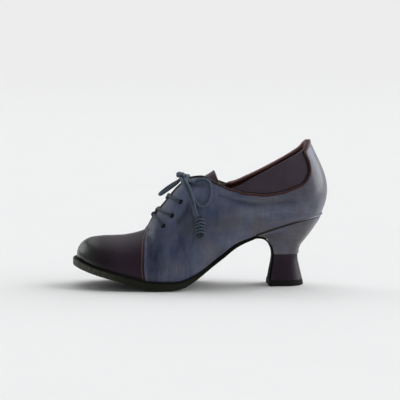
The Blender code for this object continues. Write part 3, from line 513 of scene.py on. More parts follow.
class Patchwork:
    """Grids of points that become one mesh, with a UV map in millimetres and a rim attribute that is
    1 at a panel's edge and fades inward, and below zero in creases, where it carries painted shade."""

    def __init__(self):
        self.points, self.quads, self.uvs, self.rims = [], [], [], []
        self.count = 0

    def add(self, grid, uv=None, rim=None, around=False, flip=False):
        """Add a grid of points by rows and columns. around joins the last column to the first."""
        rows, cols = grid.shape[:2]
        index = np.arange(rows * cols).reshape(rows, cols) + self.count
        if around:
            index = np.concatenate([index, index[:, :1]], axis=1)
        if uv is None:
            uv = np.moveaxis(np.indices(index.shape, float), 0, -1)
        corners = [(slice(None, -1), slice(None, -1)), (slice(1, None), slice(None, -1)),
                   (slice(1, None), slice(1, None)), (slice(None, -1), slice(1, None))]
        if flip:
            corners = corners[::-1]
        self.quads.append(np.stack([index[c] for c in corners], axis=-1).reshape(-1, 4))
        self.uvs.append(np.stack([uv[c] for c in corners], axis=-2).reshape(-1, 4, 2))
        self.points.append(grid.reshape(-1, 3))
        self.rims.append(np.broadcast_to(0.0 if rim is None else rim, (rows, cols)).ravel())
        self.count += rows * cols

    def punch(self, centres, radius):
        """Open round holes: faces with their middle inside a hole go, and the points around the hole
        move out or in to its circle."""
        points, quads, uvs = np.vstack(self.points), np.vstack(self.quads), np.vstack(self.uvs)
        for centre in centres:
            inside = np.linalg.norm(points[quads].mean(axis=1) - centre, axis=-1) < radius
            ring = np.intersect1d(quads[inside], quads[~inside])
            points[ring] = centre + unit(points[ring] - centre) * radius
            quads, uvs = quads[~inside], uvs[~inside]
        self.points, self.quads, self.uvs = [points], [quads], [uvs]

    def build(self, name, finish, closed=False):
        """Mesh object at the origin, riding on the shoe. Doubles are merged so that patches and poles
        close, and a closed body has its normals turned outward."""
        mesh = bpy.data.meshes.new(name)
        used, corners = np.unique(np.vstack(self.quads), return_inverse=True)
        points = (np.vstack(self.points)[used] + SHIFT) * MM
        mesh.from_pydata(points.tolist(), [], corners.reshape(-1, 4).tolist())
        mesh.uv_layers.new(name="UVMap").data.foreach_set("uv", np.vstack(self.uvs).ravel())
        rim = mesh.attributes.new("rim", "FLOAT", "POINT")
        rim.data.foreach_set("value", np.concatenate(self.rims)[used].astype(np.float32))
        shape = bmesh.new()
        shape.from_mesh(mesh)
        bmesh.ops.remove_doubles(shape, verts=shape.verts, dist=MERGE * MM)
        if closed:
            bmesh.ops.recalc_face_normals(shape, faces=shape.faces)
        shape.to_mesh(mesh)
        shape.free()
        mesh.shade_smooth()
        mesh.set_sharp_from_angle(angle=SHARP)
        return adopt(bpy.data.objects.new(name, mesh), finish)


def adopt(made, finish):
    """Put an object in the scene with its finish, riding on the shoe."""
    bpy.context.scene.collection.objects.link(made)
    made.data.materials.append(finish)
    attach(made, BODY)
    return made


def thicken(made, thickness):
    """Give a leather panel its thickness behind the face, in millimetres."""
    shell = made.modifiers.new("thickness", "SOLIDIFY")
    shell.thickness, shell.offset = thickness * MM, -1.0


END_TURNS = (90, 60, 30)


def tube(patch, path, radius, reference, sides=12):
    """Round cord along a path: ring points are path + r (cos a N + sin a B), where N is the reference
    made square to the path's direction T and B = T x N. Both ends close in a quarter sphere."""
    path = np.asarray(path, float)
    turns = np.radians(END_TURNS)
    along = unit(np.gradient(path, axis=0))
    radius = np.broadcast_to(np.asarray(radius, float), len(path))
    head = path[0] - along[0] * (radius[0] * np.sin(turns))[:, None]
    tail = path[-1] + along[-1] * (radius[-1] * np.sin(turns[::-1]))[:, None]
    centres = np.vstack([head, path, tail])
    sizes = np.concatenate([radius[0] * np.cos(turns), radius, radius[-1] * np.cos(turns[::-1])])
    caps = len(END_TURNS)
    ways = np.vstack([np.repeat(along[:1], caps, 0), along, np.repeat(along[-1:], caps, 0)])
    reference = np.broadcast_to(np.asarray(reference, float), ways.shape)
    normal = unit(reference - np.sum(reference * ways, axis=-1, keepdims=True) * ways)
    side = np.cross(ways, normal)
    angle = np.linspace(0, 2 * np.pi, sides + 1)
    turn = angle[None, :-1, None]
    ring = np.cos(turn) * normal[:, None] + np.sin(turn) * side[:, None]
    grid = centres[:, None] + sizes[:, None, None] * ring
    run = run_length(centres)
    uv = np.stack(np.broadcast_arrays(run[:, None], angle[None, :] / (2 * np.pi)), axis=-1)
    patch.add(grid, uv=uv, around=True, flip=True)


class Wire:
    """An output of a node; arithmetic on wires and numbers adds Math nodes to the same tree."""

    def __init__(self, tree, socket):
        self.tree, self.socket = tree, socket

    def math(self, operation, *values, clamp=False):
        """A Math node on the given values."""
        node = self.tree.nodes.new("ShaderNodeMath")
        node.operation, node.use_clamp = operation, clamp
        for socket, value in zip(node.inputs, values):
            feed(self.tree, socket, value)
        return Wire(self.tree, node.outputs[0])

    def __add__(self, other):
        return self.math("ADD", self, other)

    def __sub__(self, other):
        return self.math("SUBTRACT", self, other)

    def __rsub__(self, other):
        return self.math("SUBTRACT", other, self)

    def __mul__(self, other):
        return self.math("MULTIPLY", self, other)

    def __truediv__(self, other):
        return self.math("DIVIDE", self, other)

    def __rtruediv__(self, other):
        return self.math("DIVIDE", other, self)

    def __pow__(self, other):
        return self.math("POWER", self, other)

    def __rpow__(self, other):
        return self.math("POWER", other, self)

    __radd__, __rmul__ = __add__, __mul__

    def step(self, low, high):
        """0 below low, 1 above high, straight between."""
        return self.math("MULTIPLY", (self - low) / (high - low), 1.0, clamp=True)


def feed(tree, socket, value):
    """Link a wire to a socket or set its value."""
    if isinstance(value, Wire):
        tree.links.new(value.socket, socket)
    elif hasattr(value, "__len__") and len(value) == 3 and socket.type == "RGBA":
        socket.default_value = (*value, 1.0)
    else:
        socket.default_value = value


class Finish:
    """Node tree of one material around its principled shader."""

    def __init__(self, name, **fixed):
        self.material = bpy.data.materials.new(name)
        self.material.use_nodes = True
        self.tree = self.material.node_tree
        self.shader = self.tree.nodes["Principled BSDF"]
        for socket, value in fixed.items():
            title = socket.replace("_", " ").title().replace("Ior", "IOR")
            self.shader.inputs[title].default_value = value

    def node(self, kind, settings=None, inputs=None, out=0):
        """A node of a type, its settings first, then its sockets' values or links."""
        made = self.tree.nodes.new(kind)
        for key, value in (settings or {}).items():
            setattr(made, key, value)
        for key, value in (inputs or {}).items():
            feed(self.tree, made.inputs[key], value)
        return Wire(self.tree, made.outputs[out])

    def place(self, scale=(1.0, 1.0, 1.0), turn=(0.0, 0.0, 0.0)):
        """Object coordinates, stretched and turned."""
        point = self.node("ShaderNodeTexCoord", out="Object")
        sockets = {"Vector": point, "Scale": scale, "Rotation": turn}
        return self.node("ShaderNodeMapping", None, sockets)

    def noise(self, scale, detail=3.0, rough=0.55, vector=None):
        """Noise between 0 and 1 at so many features a metre."""
        sockets = {"Vector": vector or self.place(), "Scale": scale}
        return self.node("ShaderNodeTexNoise", None, {**sockets, "Detail": detail, "Roughness": rough})

    def mix(self, factor, a, b):
        """Colour between a and b."""
        return self.node("ShaderNodeMix", {"data_type": "RGBA"}, {0: factor, 6: a, 7: b}, out=2)

    def shade(self, amount, tone):
        """Colour times a number."""
        return self.node("ShaderNodeVectorMath", {"operation": "SCALE"}, {0: tone, "Scale": amount})

    def attribute(self, name):
        """A number that the mesh carries at its points."""
        return self.node("ShaderNodeAttribute", {"attribute_name": name}, out="Fac")

    def axis(self, which, source="Object"):
        """One axis of the Object coordinates, in metres, or of the UV map."""
        point = self.node("ShaderNodeTexCoord", out=source)
        return self.node("ShaderNodeSeparateXYZ", None, {0: point}, out=which)

    def finish(self, tone, roughness, height=None, distance=0.0002, strength=0.6, coat=None):
        """Feed the shader and give its material."""
        feed(self.tree, self.shader.inputs["Base Color"], tone)
        feed(self.tree, self.shader.inputs["Roughness"], roughness)
        if coat is not None:
            feed(self.tree, self.shader.inputs["Coat Weight"], coat)
        if height is not None:
            bump = self.node("ShaderNodeBump", None,
                             {"Height": height, "Distance": distance, "Strength": strength})
            feed(self.tree, self.shader.inputs["Normal"], bump)
        return self.material


def tones():
    """The colours a user may change, as tuples."""
    group = bpy.context.scene.shoe_colours
    return {name: tuple(getattr(group, name)) for name in ShoeColours.__annotations__}


def sizes():
    """The sizes a user may change, in millimetres."""
    group = bpy.context.scene.shoe_sizes
    return {name: getattr(group, name) / MM for name in ShoeSizes.__annotations__}


def blue_leather(c):
    """Burnished leather: deep blue with pale strokes, upright in front and level behind, under a warm
    cast; palest on the lap of the front seam, with painted highlights on the facings and under the
    bow, darkest behind the seam, with painted shade in the creases, painted light on the middle of
    the heel and painted shade at its back, worn pale at the edges. Zones are metres along and up the
    shoe. The rim attribute is above zero at edges and below zero in creases, where it paints shade."""
    f = Finish("blue_leather", coat_roughness=0.2, specular_ior_level=0.4)
    x, z, rim = f.axis("X"), f.axis("Z"), f.attribute("rim")
    # edge marks the worn edges; fold is painted shade in the creases.
    edge, fold = rim.step(0.0, 1.0), (0.0 - rim).step(0.0, 1.0)
    rear = x.step(-0.03, 0.06)
    upright = f.noise(100.0, 5.0, 0.62, f.place(scale=(1.0, 1.0, 0.3)))
    level = f.noise(90.0, 5.0, 0.62, f.place(scale=(0.28, 1.0, 1.0), turn=(0.0, -0.3, 0.0)))
    stroke = (upright * (1.0 - rear) + level * rear).step(0.39, 0.61)
    cloud = (f.noise(34.0, 3.0, 0.55) + rear * 0.1).step(0.38, 0.66)
    speck = f.noise(620.0, 4.0, 0.7)
    fine = f.noise(330.0, 4.0, 0.7, f.place(scale=(1.0, 1.0, 0.22))).step(0.3, 0.7)
    lap = 1.0 - x.step(-0.0525, -0.049)
    band = x.step(-0.0525, -0.0485) * (1.0 - x.step(-0.044, -0.031))
    # The bow zone paints a highlight where the quarter bulges under the bow; the facing zone paints a
    # highlight on the facings.
    bow = x.step(-0.02, -0.012) * (1.0 - x.step(0.018, 0.034)) * z.step(0.074, 0.088)
    facing = (z * 0.57 - x * 0.822).step(0.0525, 0.0585) * z.step(0.052, 0.064)
    low = (1.0 - z.step(0.018, 0.034)) * x.step(-0.052, -0.046) * (1.0 - rear)
    # The heel zone adds a warm cast to the heel cover and, through light below, painted light on its
    # middle and painted shade at its back.
    heel = (1.0 - z.step(0.05, 0.066)) * x.step(0.045, 0.058)
    warm = cloud * 0.5 * (1.0 - band * 0.7) + heel * 0.25 + rear * 0.26 + low * 0.2
    # Worn pale edges and lap, with painted highlights under the bow and on the facings.
    rub_and_highlight = edge * 0.6 * (0.3 + stroke) + lap * 0.45 + bow * 0.55 + facing * 0.62
    # light: brighter at the back and at the lower front, painted highlights under the bow and on the
    # facings, painted light on the heel's middle and painted shade at its back.
    light = 1.0 + rear * 0.2 + bow * 0.18 + low * 0.35 + facing * 0.12
    light = light + heel * (0.22 - x.step(0.078, 0.096) * 0.75)
    grain = 0.7 + speck * 0.3 + fine * 0.32
    tone = f.mix(warm, f.mix(stroke * 0.85, c["blue"], c["pale"]), c["brown"])
    tone = f.mix(rub_and_highlight, tone, c["pale"])
    # fold darkens the creases with painted shade.
    tone = f.shade(grain * light * (1.0 - band * 0.4) * (1.0 - fold * 0.6), tone)
    pores = f.node("ShaderNodeTexVoronoi", {"feature": "F1"}, {"Vector": f.place(), "Scale": 1300.0})
    wrinkle = f.noise(210.0, 4.0, 0.6)
    roughness = 0.32 + cloud * 0.08 + speck * 0.08 + facing * 0.2
    height = pores * 0.35 + wrinkle + speck * 0.5
    return f.finish(tone, roughness, height, 0.00018, 0.5, coat=0.045 + rear * 0.33 + stroke * 0.08)


def plum_leather(c):
    """Embossed leather: plum with fine lines slanting both ways and a soft grain between them, black
    burnish towards the toe, and a paler tone on the collar panels and the tongue."""
    f = Finish("plum_leather", coat_roughness=0.24, specular_ior_level=0.15)
    slants = [f.place(turn=(0.0, turn, 0.0)) for turn in (0.8, -0.6)]
    lines = [f.node("ShaderNodeTexWave", {"wave_type": "BANDS", "bands_direction": "X"},
                    {"Vector": slant, "Scale": 165.0, "Distortion": 2.8, "Detail": 2.0})
             for slant in slants]
    hatch = lines[0] * 0.65 + lines[1] * 0.35
    cells = f.node("ShaderNodeTexVoronoi", {"feature": "DISTANCE_TO_EDGE"},
                   {"Vector": f.place(), "Scale": 780.0})
    cloud = f.noise(60.0, 4.0, 0.6)
    x, z = f.axis("X"), f.axis("Z")
    toe = 1.0 - (x + cloud * 0.02).step(-0.098, -0.068)
    tip = 1.0 - x.step(-0.112, -0.094)
    high = z.step(0.072, 0.09)
    tongue = z.step(0.092, 0.1) * (1.0 - x.step(0.022, 0.03))
    emboss = (hatch - 0.5) * (0.22 + high * 0.6)
    tone = f.mix(toe, f.mix(high, c["plum"], c["collar"]), c["black"])
    tone = f.shade(0.55 + cloud * 0.36 + emboss + high * 0.16 + tongue * 0.7, tone)
    height = hatch * (0.35 + high * 0.45) + cells * 0.8 + cloud * 0.4
    roughness = 0.38 + cloud * 0.1 - toe * 0.02
    return f.finish(tone, roughness, height, 0.00025, 0.6, coat=0.035 + tip * 0.85)


def rolled_leather(name, tone):
    """Thin leather rolled over a cord: even colour with a worn, uneven top and fine grain."""
    f = Finish(name, coat_roughness=0.3, specular_ior_level=0.25)
    worn = f.noise(190.0, 4.0, 0.65)
    grain = f.noise(1400.0, 3.0, 0.6)
    shade = f.shade(0.62 + worn * 0.78, tone)
    return f.finish(shade, 0.42 + grain * 0.12, grain + worn, 0.00012, 0.5, coat=0.04)


def piping_leather(c, name="piping", rub_and_highlight=0.0):
    """Rolled piping: dark brown over the instep, burgundy from the collar back, worn along its top,
    painted shade near black on the far side by the instep and, by the amount given, a painted
    highlight along the far topline."""
    f = Finish(name, coat_roughness=0.3, specular_ior_level=0.25)
    worn = f.noise(190.0, 4.0, 0.65)
    grain = f.noise(1400.0, 3.0, 0.6)
    back, far = f.axis("X").step(0.023, 0.032), f.axis("Y").step(0.0, 0.005)
    peak = f.axis("Z").step(0.12, 0.132)
    tone = f.mix(f.axis("X").step(0.004, 0.02), c["facing"], c["burgundy"])
    # Far side and back together paint a highlight along the far topline; the far side alone paints shade
    # by the instep.
    tone = f.mix(far * back * 0.5 * rub_and_highlight + peak * 0.3, tone, c["edge_pink"])
    amount = 0.6 + worn * 0.8 - far * 0.8 * (1.0 - back) + far * back * 1.2 * rub_and_highlight + peak * 0.45
    tone = f.shade(amount, tone)
    return f.finish(tone, 0.45 + grain * 0.12, grain + worn, 0.00012, 0.5, coat=0.04)


def seat_edge(c):
    """Edge of the upper over the heel seat: black in front, with a pale painted highlight towards the
    back.
    """
    f = Finish("seat_edge", coat_roughness=0.25, specular_ior_level=0.4)
    grain = f.noise(900.0, 3.0, 0.6)
    tone = f.mix(f.axis("X").step(0.086, 0.104), c["black"], c["seat"])
    tone = f.shade(0.8 + grain * 0.4, tone)
    return f.finish(tone, 0.35 + grain * 0.1, grain, 0.0001, 0.4, coat=0.15)


def lining_leather(c):
    """Smooth lining leather with soft darker rubs and a fine grain."""
    f = Finish("lining_leather", specular_ior_level=0.35)
    rub = f.noise(60.0, 4.0, 0.6)
    grain = f.noise(1100.0, 3.0, 0.6)
    tone = f.shade(0.6 + rub * 0.8, c["lining"])
    return f.finish(tone, 0.5 + grain * 0.12, grain + rub * 0.6, 0.00015, 0.5)


def sole_leather(c):
    """Dyed sole edge: olive black, with fine lines that the brush leaves along the edge and small
    ticks across it, rubbed grey at the toe and black at the waist and the heel's breast."""
    f = Finish("sole_leather", specular_ior_level=0.05)
    line = f.noise(420.0, 3.0, 0.6, f.place(scale=(0.06, 0.06, 3.2)))
    tick = f.noise(700.0, 2.0, 0.5, f.place(scale=(1.0, 1.0, 0.3), turn=(0.0, 0.5, 0.0)))
    cloud = f.noise(70.0, 4.0, 0.6)
    toe = 1.0 - f.axis("X").step(-0.122, -0.072)
    waist = f.axis("X").step(-0.02, 0.01)
    worn = toe * (1.5 + tick.step(0.35, 0.65) * 2.2)
    amount = (0.3 + line * 0.7 + cloud * 0.35 + worn) * (1.0 - waist * 0.8)
    tone = f.shade(amount, f.mix(toe * 0.8, c["sole"], c["worn_edge"]))
    height = line + tick * 0.5 + cloud * 0.4
    return f.finish(tone, 0.45 + line * 0.2 + waist * 0.3, height, 0.0002, 0.7)


def black_edge(c, name="welt_black", roughness=0.6, amount=1.0):
    """Black waxed leather or rubber with faint rubbing."""
    f = Finish(name, specular_ior_level=0.07)
    rub = f.noise(160.0, 4.0, 0.65)
    grain = f.noise(1500.0, 2.0, 0.5)
    tone = f.shade(amount * (0.6 + rub * 0.9), c["rubber"])
    return f.finish(tone, roughness + rub * 0.15, grain + rub, 0.0001, 0.5)


BRAID_PITCH, BRAID_STRANDS = 2.1, 6


def lace_cord(c, name="lace_cord", amount=1.0):
    """Braided round cord, waxed: two families of strands wind round it both ways, so the height is
    the larger of two slanting waves along and around the cord."""
    f = Finish(name, specular_ior_level=0.4)
    along, turn = f.axis("X", "UV"), f.axis("Y", "UV")
    waves = [along * (2 * math.pi / BRAID_PITCH) + turn * (way * BRAID_STRANDS * math.pi)
             for way in (1, -1)]
    crests = [wave.math("SINE", wave) for wave in waves]
    strand = crests[0].math("MAXIMUM", *crests)
    wax = f.noise(150.0, 3.0, 0.6)
    tone = f.shade(amount * (0.42 + strand * 0.36 + wax * 0.5), c["lace"])
    return f.finish(tone, 0.46 + wax * 0.15, strand + wax * 0.3, 0.0003, 0.7)


def hole_dark(c):
    """Raw dark edge of a punched hole, and the dark strip of painted shade in the collar's groove."""
    f = Finish("hole_dark", specular_ior_level=0.2)
    rub = f.noise(500.0, 3.0, 0.6)
    return f.finish(f.shade(0.5 + rub, c["rubber"]), 0.75 + rub * 0.1, rub, 0.0001, 0.4)


def plain_floor():
    """Pale seamless floor with a soft painted shade under the forefoot, exp(-along^4 - across^2), which
    turns far behind the shoe into an evenly glowing backdrop."""
    f = Finish("floor", specular_ior_level=0.1)
    grain = f.noise(9.0, 2.0, 0.5)
    along = ((f.axis("X") - FLOOR_SHADE["x"]) / FLOOR_SHADE["along"]) ** 2.0
    across = (f.axis("Y") - FLOOR_SHADE["y"]) / FLOOR_SHADE["across"]
    under = grain.math("EXPONENT", 0.0 - along * along - across * across)
    tone = f.shade(0.99 + grain * 0.02 - under * FLOOR_SHADE["strength"], FLOOR_TONE)
    made = f.finish(tone, 0.95)
    glow = f.node("ShaderNodeEmission", None, {"Color": BACKDROP})
    far = f.node("ShaderNodeMixShader", None, {0: f.axis("Y").step(1.5, 6.0), 2: glow})
    f.tree.links.new(f.shader.outputs[0], far.socket.node.inputs[1])
    f.tree.links.new(far.socket, f.tree.nodes["Material Output"].inputs["Surface"])
    return made


MAKERS = dict(
    blue=blue_leather, plum=plum_leather, lining=lining_leather, sole=sole_leather, welt=black_edge,
    rubber=lambda c: black_edge(c, "heel_rubber", 0.75, 1.7), hole=hole_dark, seat_edge=seat_edge,
    # The lacing strands take a darker copy of the lace, as painted shade; the cores of knot and tassel a
    # darker one still, as painted shade between the turns.
    lace=lace_cord, lacing=lambda c: lace_cord(c, "lacing_cord", 0.62),
    lace_dark=lambda c: lace_cord(c, "lace_dark", 0.22),
    # The topline finish paints a highlight along the far topline.
    piping=piping_leather, topline=lambda c: piping_leather(c, "topline", 1.5),
    facing=lambda c: rolled_leather("facing_piping", c["facing"]),
    edge_red=lambda c: rolled_leather("edge_red", c["edge_red"]),
    edge_pink=lambda c: rolled_leather("edge_pink", c["edge_pink"]),
    # The fold finish is a paler copy of the collar colour: a painted highlight along the folded top
    # edge.
    fold=lambda c: rolled_leather("collar_fold", tuple(1.9 * x for x in c["collar"])),
    thread=lambda c: rolled_leather("thread", tuple(1.3 * x for x in c["edge_red"])),
)
MADE = {}


def finish_of(name):
    """The material of that name, made once."""
    if name not in MADE:
        MADE[name] = MAKERS[name](tones())
    return MADE[name]


def direction(azimuth, elevation):
    """Unit vector towards an azimuth, 0 at the lateral side and 90 at the heel, and an elevation."""
    a, e = math.radians(azimuth), math.radians(elevation)
    return Vector((math.sin(a) * math.cos(e), -math.cos(a) * math.cos(e), math.sin(e)))


def front_rib(t):
    """Rib of the quarter's front edge at a height up the wall."""
    return table_curve(QUARTER_FRONT, t)


def quarter_patches():
    """Ribs, heights, way below the edge and place along of a quarter's two patches. The long one runs
    from the front edge to the back of the scoop: heights are shares of the top edge's height, and ribs
    lean with the front edge, fading out behind. The back one runs from the scoop's back edge to the
    back seam, on the same heights at their join."""
    share = np.linspace(0, 1, 56)[None, :]
    front, back = QUARTER_TOP[0][0], QUARTER_TOP[-1][0]
    place = np.linspace(0, 1, 236)[:, None]
    place = 0.72 * place + 0.28 * place ** 1.9
    base = front + place * (back - front)
    foot = FOOT_TUCK + table_curve(SEAT_RISE, base)
    t = foot + share * (table_curve(QUARTER_TOP, base) - foot)
    u = base + (front_rib(t) - front) * (1 - place) ** 3
    top = SCOOP_BACK[0][0]
    rows = np.concatenate([t[-1], np.linspace(top, BACK_TOP, 34)[1:]])[None, :]
    left = np.where(rows <= top, back, table_curve(SCOOP_BACK, rows))
    u_back = left + np.linspace(0, 1, 46)[:, None] * (BACK_RIB - left)
    sink = table_curve(SEAT_RISE, u_back) - table_curve(SEAT_RISE, back)
    t_back = rows + sink * np.clip(1 - rows / top, 0, 1)
    return ((u, t, 1 - share, place), (u_back, t_back, BACK_TOP - t_back, None))


def wall_uv(u, t):
    """UV in millimetres, with the mean distance from rib to rib and the mean height of a rib."""
    return np.stack(np.broadcast_arrays(RIB_STEP_MM * u, RIB_HEIGHT_MM * t), axis=-1)


class SHOE_OT_stage(bpy.types.Operator):
    """Camera at the photograph's angle, soft studio light and a pale floor"""
    bl_idname = "shoe.stage"
    bl_label = "Stage"

    def execute(self, context):
        scene = context.scene
        scene.view_settings.view_transform = "Standard"
        back = direction(CAMERA["azimuth"], CAMERA["elevation"])
        data = bpy.data.cameras.new("camera")
        data.sensor_width = 36.0
        data.lens = data.sensor_width * CAMERA["distance"] / CAMERA["frame_mm"]
        data.clip_start, data.clip_end = 0.05, 60.0
        camera = bpy.data.objects.new("camera", data)
        camera.location = Vector(CAMERA["aim"]) * MM + back * CAMERA["distance"] * MM
        camera.rotation_euler = (-back).to_track_quat("-Z", "Y").to_euler()
        scene.collection.objects.link(camera)
        scene.camera = camera
        self.lights(scene)
        self.floor(scene)
        return {"FINISHED"}

    def lights(self, scene):
        """Soft studio light: a wide one overhead and behind, one from the heel's side, one from the
        toe's side, all far off so that the floor stays even, in a dim room."""
        world = bpy.data.worlds.new("room")
        world.use_nodes = True
        background = world.node_tree.nodes["Background"]
        background.inputs["Color"].default_value = ROOM_TINT
        background.inputs["Strength"].default_value = ROOM_LIGHT
        scene.world = world
        for name, (azimuth, elevation, angle, strength) in LAMPS.items():
            sun = bpy.data.lights.new(name, "SUN")
            sun.energy, sun.angle, sun.color = strength, math.radians(angle), LAMP_TINT
            lamp = bpy.data.objects.new(name, sun)
            way = direction(azimuth, elevation)
            lamp.rotation_euler = way.to_track_quat("Z", "Y").to_euler()
            scene.collection.objects.link(lamp)

    def floor(self, scene):
        """Seamless sweep: flat to a line behind the shoe, then a quarter turn up into a wall."""
        front, bend, radius, top, half, drop = SWEEP
        turn = np.linspace(0, np.pi / 2, 13)[1:]
        y = np.concatenate([np.linspace(front, bend, 10), bend + radius * np.sin(turn), [bend + radius]])
        z = np.concatenate([np.zeros(10), radius - radius * np.cos(turn), [top]]) - drop
        x = np.linspace(-half, half, 8)[:, None]
        grid = np.stack(np.broadcast_arrays(x, y[None, :], z[None, :]), axis=-1)
        rows, cols = grid.shape[:2]
        index = np.arange(rows * cols).reshape(rows, cols)
        quads = np.stack([index[:-1, :-1], index[1:, :-1], index[1:, 1:], index[:-1, 1:]], axis=-1)
        mesh = bpy.data.meshes.new("floor")
        mesh.from_pydata(grid.reshape(-1, 3).tolist(), [], quads.reshape(-1, 4).tolist())
        mesh.shade_smooth()
        mesh.materials.append(plain_floor())
        floor = bpy.data.objects.new("floor", mesh)
        scene.collection.objects.link(floor)


def knot_exit(name):
    """Point just off the knot where a cord leaves it."""
    return KNOT_AT + unit(np.array(KNOT_EXITS[name])) * (KNOT_RADII + KNOT_CLEAR)


def on_lateral(route):
    """Points of a route that lies on the lateral wall."""
    u, t, lift = np.array(route).T
    return upper_point(u, t, LATERAL) + lift[:, None] * upper_normal(u, t, LATERAL)


class SHOE_OT_bow(bpy.types.Operator):
    """Tied bow: knot, two loops, two hanging ends and the braided tassel that binds them"""
    bl_idname = "shoe.bow"
    bl_label = "Bow"

    def execute(self, context):
        size = sizes()
        radius = 0.5 * size["lace"]
        knot = self.knot(radius)
        sennit = self.sennit(radius)
        routes = dict(
            bow_loop_lateral=(
                [knot_exit("loop_out"), *on_lateral(LOOP_LATERAL), knot_exit("loop_back")],
                (0.1, -0.93, 0.36), "lace_loop_lateral", knot),
            bow_loop_medial=(
                [knot_exit("medial_out"), *LOOP_MEDIAL, knot_exit("medial_back")],
                (-0.7, 0.0, 0.72), "lace_loop_medial", []),
            bow_end_front=(
                [knot_exit("front"), *on_lateral(END_FRONT)],
                (0.9, 0.1, 0.3), "lace_end_front", sennit),
            bow_end_rear=(
                [knot_exit("rear"), *on_lateral(END_REAR)],
                (0.9, 0.1, 0.3), "lace_end_rear", []),
        )
        for name, (points, reference, node, pieces) in routes.items():
            path = even_path(points, LACE_STEP)
            patch = Patchwork()
            tube(patch, path, radius, reference)
            made = patch.build(name, finish_of("lace"), closed=True)
            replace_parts(made, node)
            size["lace"] * MM
        return {"FINISHED"}

    def knot(self, radius):
        """Knot: three tight turns of cord side by side along an axis that dips backward. A turn is an
        ellipse round the axis, (place + slant sin a, wide cos a, high sin a)."""
        tilt = np.array([[math.cos(KNOT_DIP), 0.0, -math.sin(KNOT_DIP)], [0.0, 1.0, 0.0],
                         [math.sin(KNOT_DIP), 0.0, math.cos(KNOT_DIP)]])
        patch = Patchwork()
        for place, slant, high, thick in KNOT_TURNS:
            a = np.linspace(0.3, 2 * np.pi + 0.3, 48)
            turn = [place + slant * np.sin(a), KNOT_WIDE * np.cos(a), high * np.sin(a)]
            tube(patch, np.stack(turn, axis=-1) @ tilt + KNOT_AT, thick * radius, tilt[0])
        knot = patch.build("bow_knot", finish_of("lace"), closed=True)
        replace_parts(knot, "lace_knot")
        # The core is a dark copy of the lace inside the turns: painted shade in the gaps between them.
        core = Patchwork()
        axis = np.linspace(*KNOT_CORE, 12)[:, None] * tilt[0]
        tube(core, axis + KNOT_AT, KNOT_CORE_THICK * radius, tilt[2])
        return [knot, core.build("bow_knot_core", finish_of("lace_dark"), closed=True)]

    def sennit(self, radius):
        """Braided tassel: roof-shaped turns of cord stacked down its length, each bent round the sides
        to the back, over core strands that end in short tips."""
        out = upper_normal(SENNIT_RIB, SENNIT_UP, LATERAL)
        up = unit(UP - out * out[2])
        axes = np.stack([np.cross(out, up), out, up])
        centre = upper_point(SENNIT_RIB, SENNIT_UP, LATERAL) + SENNIT_LIFT * out
        roof = smooth_curve(SENNIT_ROOF, 40)
        patch = Patchwork()
        for turn in range(SENNIT_TURNS):
            middle = 0.5 * (SENNIT_TURNS - 1)
            drop = np.array([SENNIT_SWAY * (-1) ** turn, 0.0, (middle - turn) * SENNIT_PITCH])
            tube(patch, centre + (roof + drop) @ axes, SENNIT_CORD * radius, up)
        # The core strands are a dark copy of the lace: painted shade between the turns.
        core = Patchwork()
        for place, low in SENNIT_CORES:
            strand = ((0.3 * place, 0.0, 8.0), (place, 0.0, 5.0), (place, 0.1, -6.0),
                      (0.8 * place, 0.4, low))
            tube(core, centre + smooth_curve(strand, 30) @ axes, radius, out)
        sennit = patch.build("bow_tassel", finish_of("lace"), closed=True)
        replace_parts(sennit, "lace_sennit")
        return [sennit, core.build("bow_tassel_core", finish_of("lace_dark"), closed=True)]


class SHOE_OT_lacing(bpy.types.Operator):
    """Lace through the punched holes: each strand crosses the throat and goes down a hole"""
    bl_idname = "shoe.lacing"
    bl_label = "Lacing"

    def strand(self, hole, side):
        """Middle line of the strand into one hole from the hole before it on the other side."""
        start = np.array(STRAND_STARTS[hole, side]) + np.array([HOLE_RIBS[hole - 1], 0.0, 0.0])
        lean, sag, across, height = np.array(STRAND_END).T
        before = STRAND_LEAN[hole] * lean + STRAND_SAG.get((hole, side), 0.0) * sag
        rows = np.vstack([start, np.stack([HOLE_RIBS[hole] - before, across, height], axis=-1)])
        return throat_point(rows[:, 0], rows[:, 1] * side, rows[:, 2])

    def ring(self):
        """Small turn of the lace where the first strand passes the facing's edge: a circle upright
        along the shoe, (r cos a, 0, r sin a), a little tilted."""
        centre = throat_point(HOLE_RIBS[0] - RING_BEFORE, RING_ACROSS, RING_RADIUS + 0.1)
        a = np.linspace(0, 2 * np.pi, 40)
        return centre + RING_RADIUS * np.stack([np.cos(a), RING_TILT * np.sin(a), np.sin(a)], axis=-1)

    def execute(self, context):
        radius = 0.5 * sizes()["lace"]
        patch = Patchwork()
        routes = [self.strand(hole, side) for hole, side in STRAND_STARTS]
        rib, across, height = np.array(LAST_STRAND).T
        for side in SIDE_NAMES:
            foot = KNOT_AT + np.array(UNDER_KNOT) * np.array([1.0, side, 1.0])
            routes.append([*throat_point(rib, across * side, height), foot])
        for points in routes:
            tube(patch, even_path(points, LACE_STEP), radius, LACE_UPRIGHT)
        tube(patch, self.ring(), RING_CORD, (0.0, 1.0, 0.0))
        # The strands take a darker copy of the lace: painted shade.
        lacing = patch.build("lacing", finish_of("lacing"), closed=True)
        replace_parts(lacing, "lace_crossings")
        return {"FINISHED"}


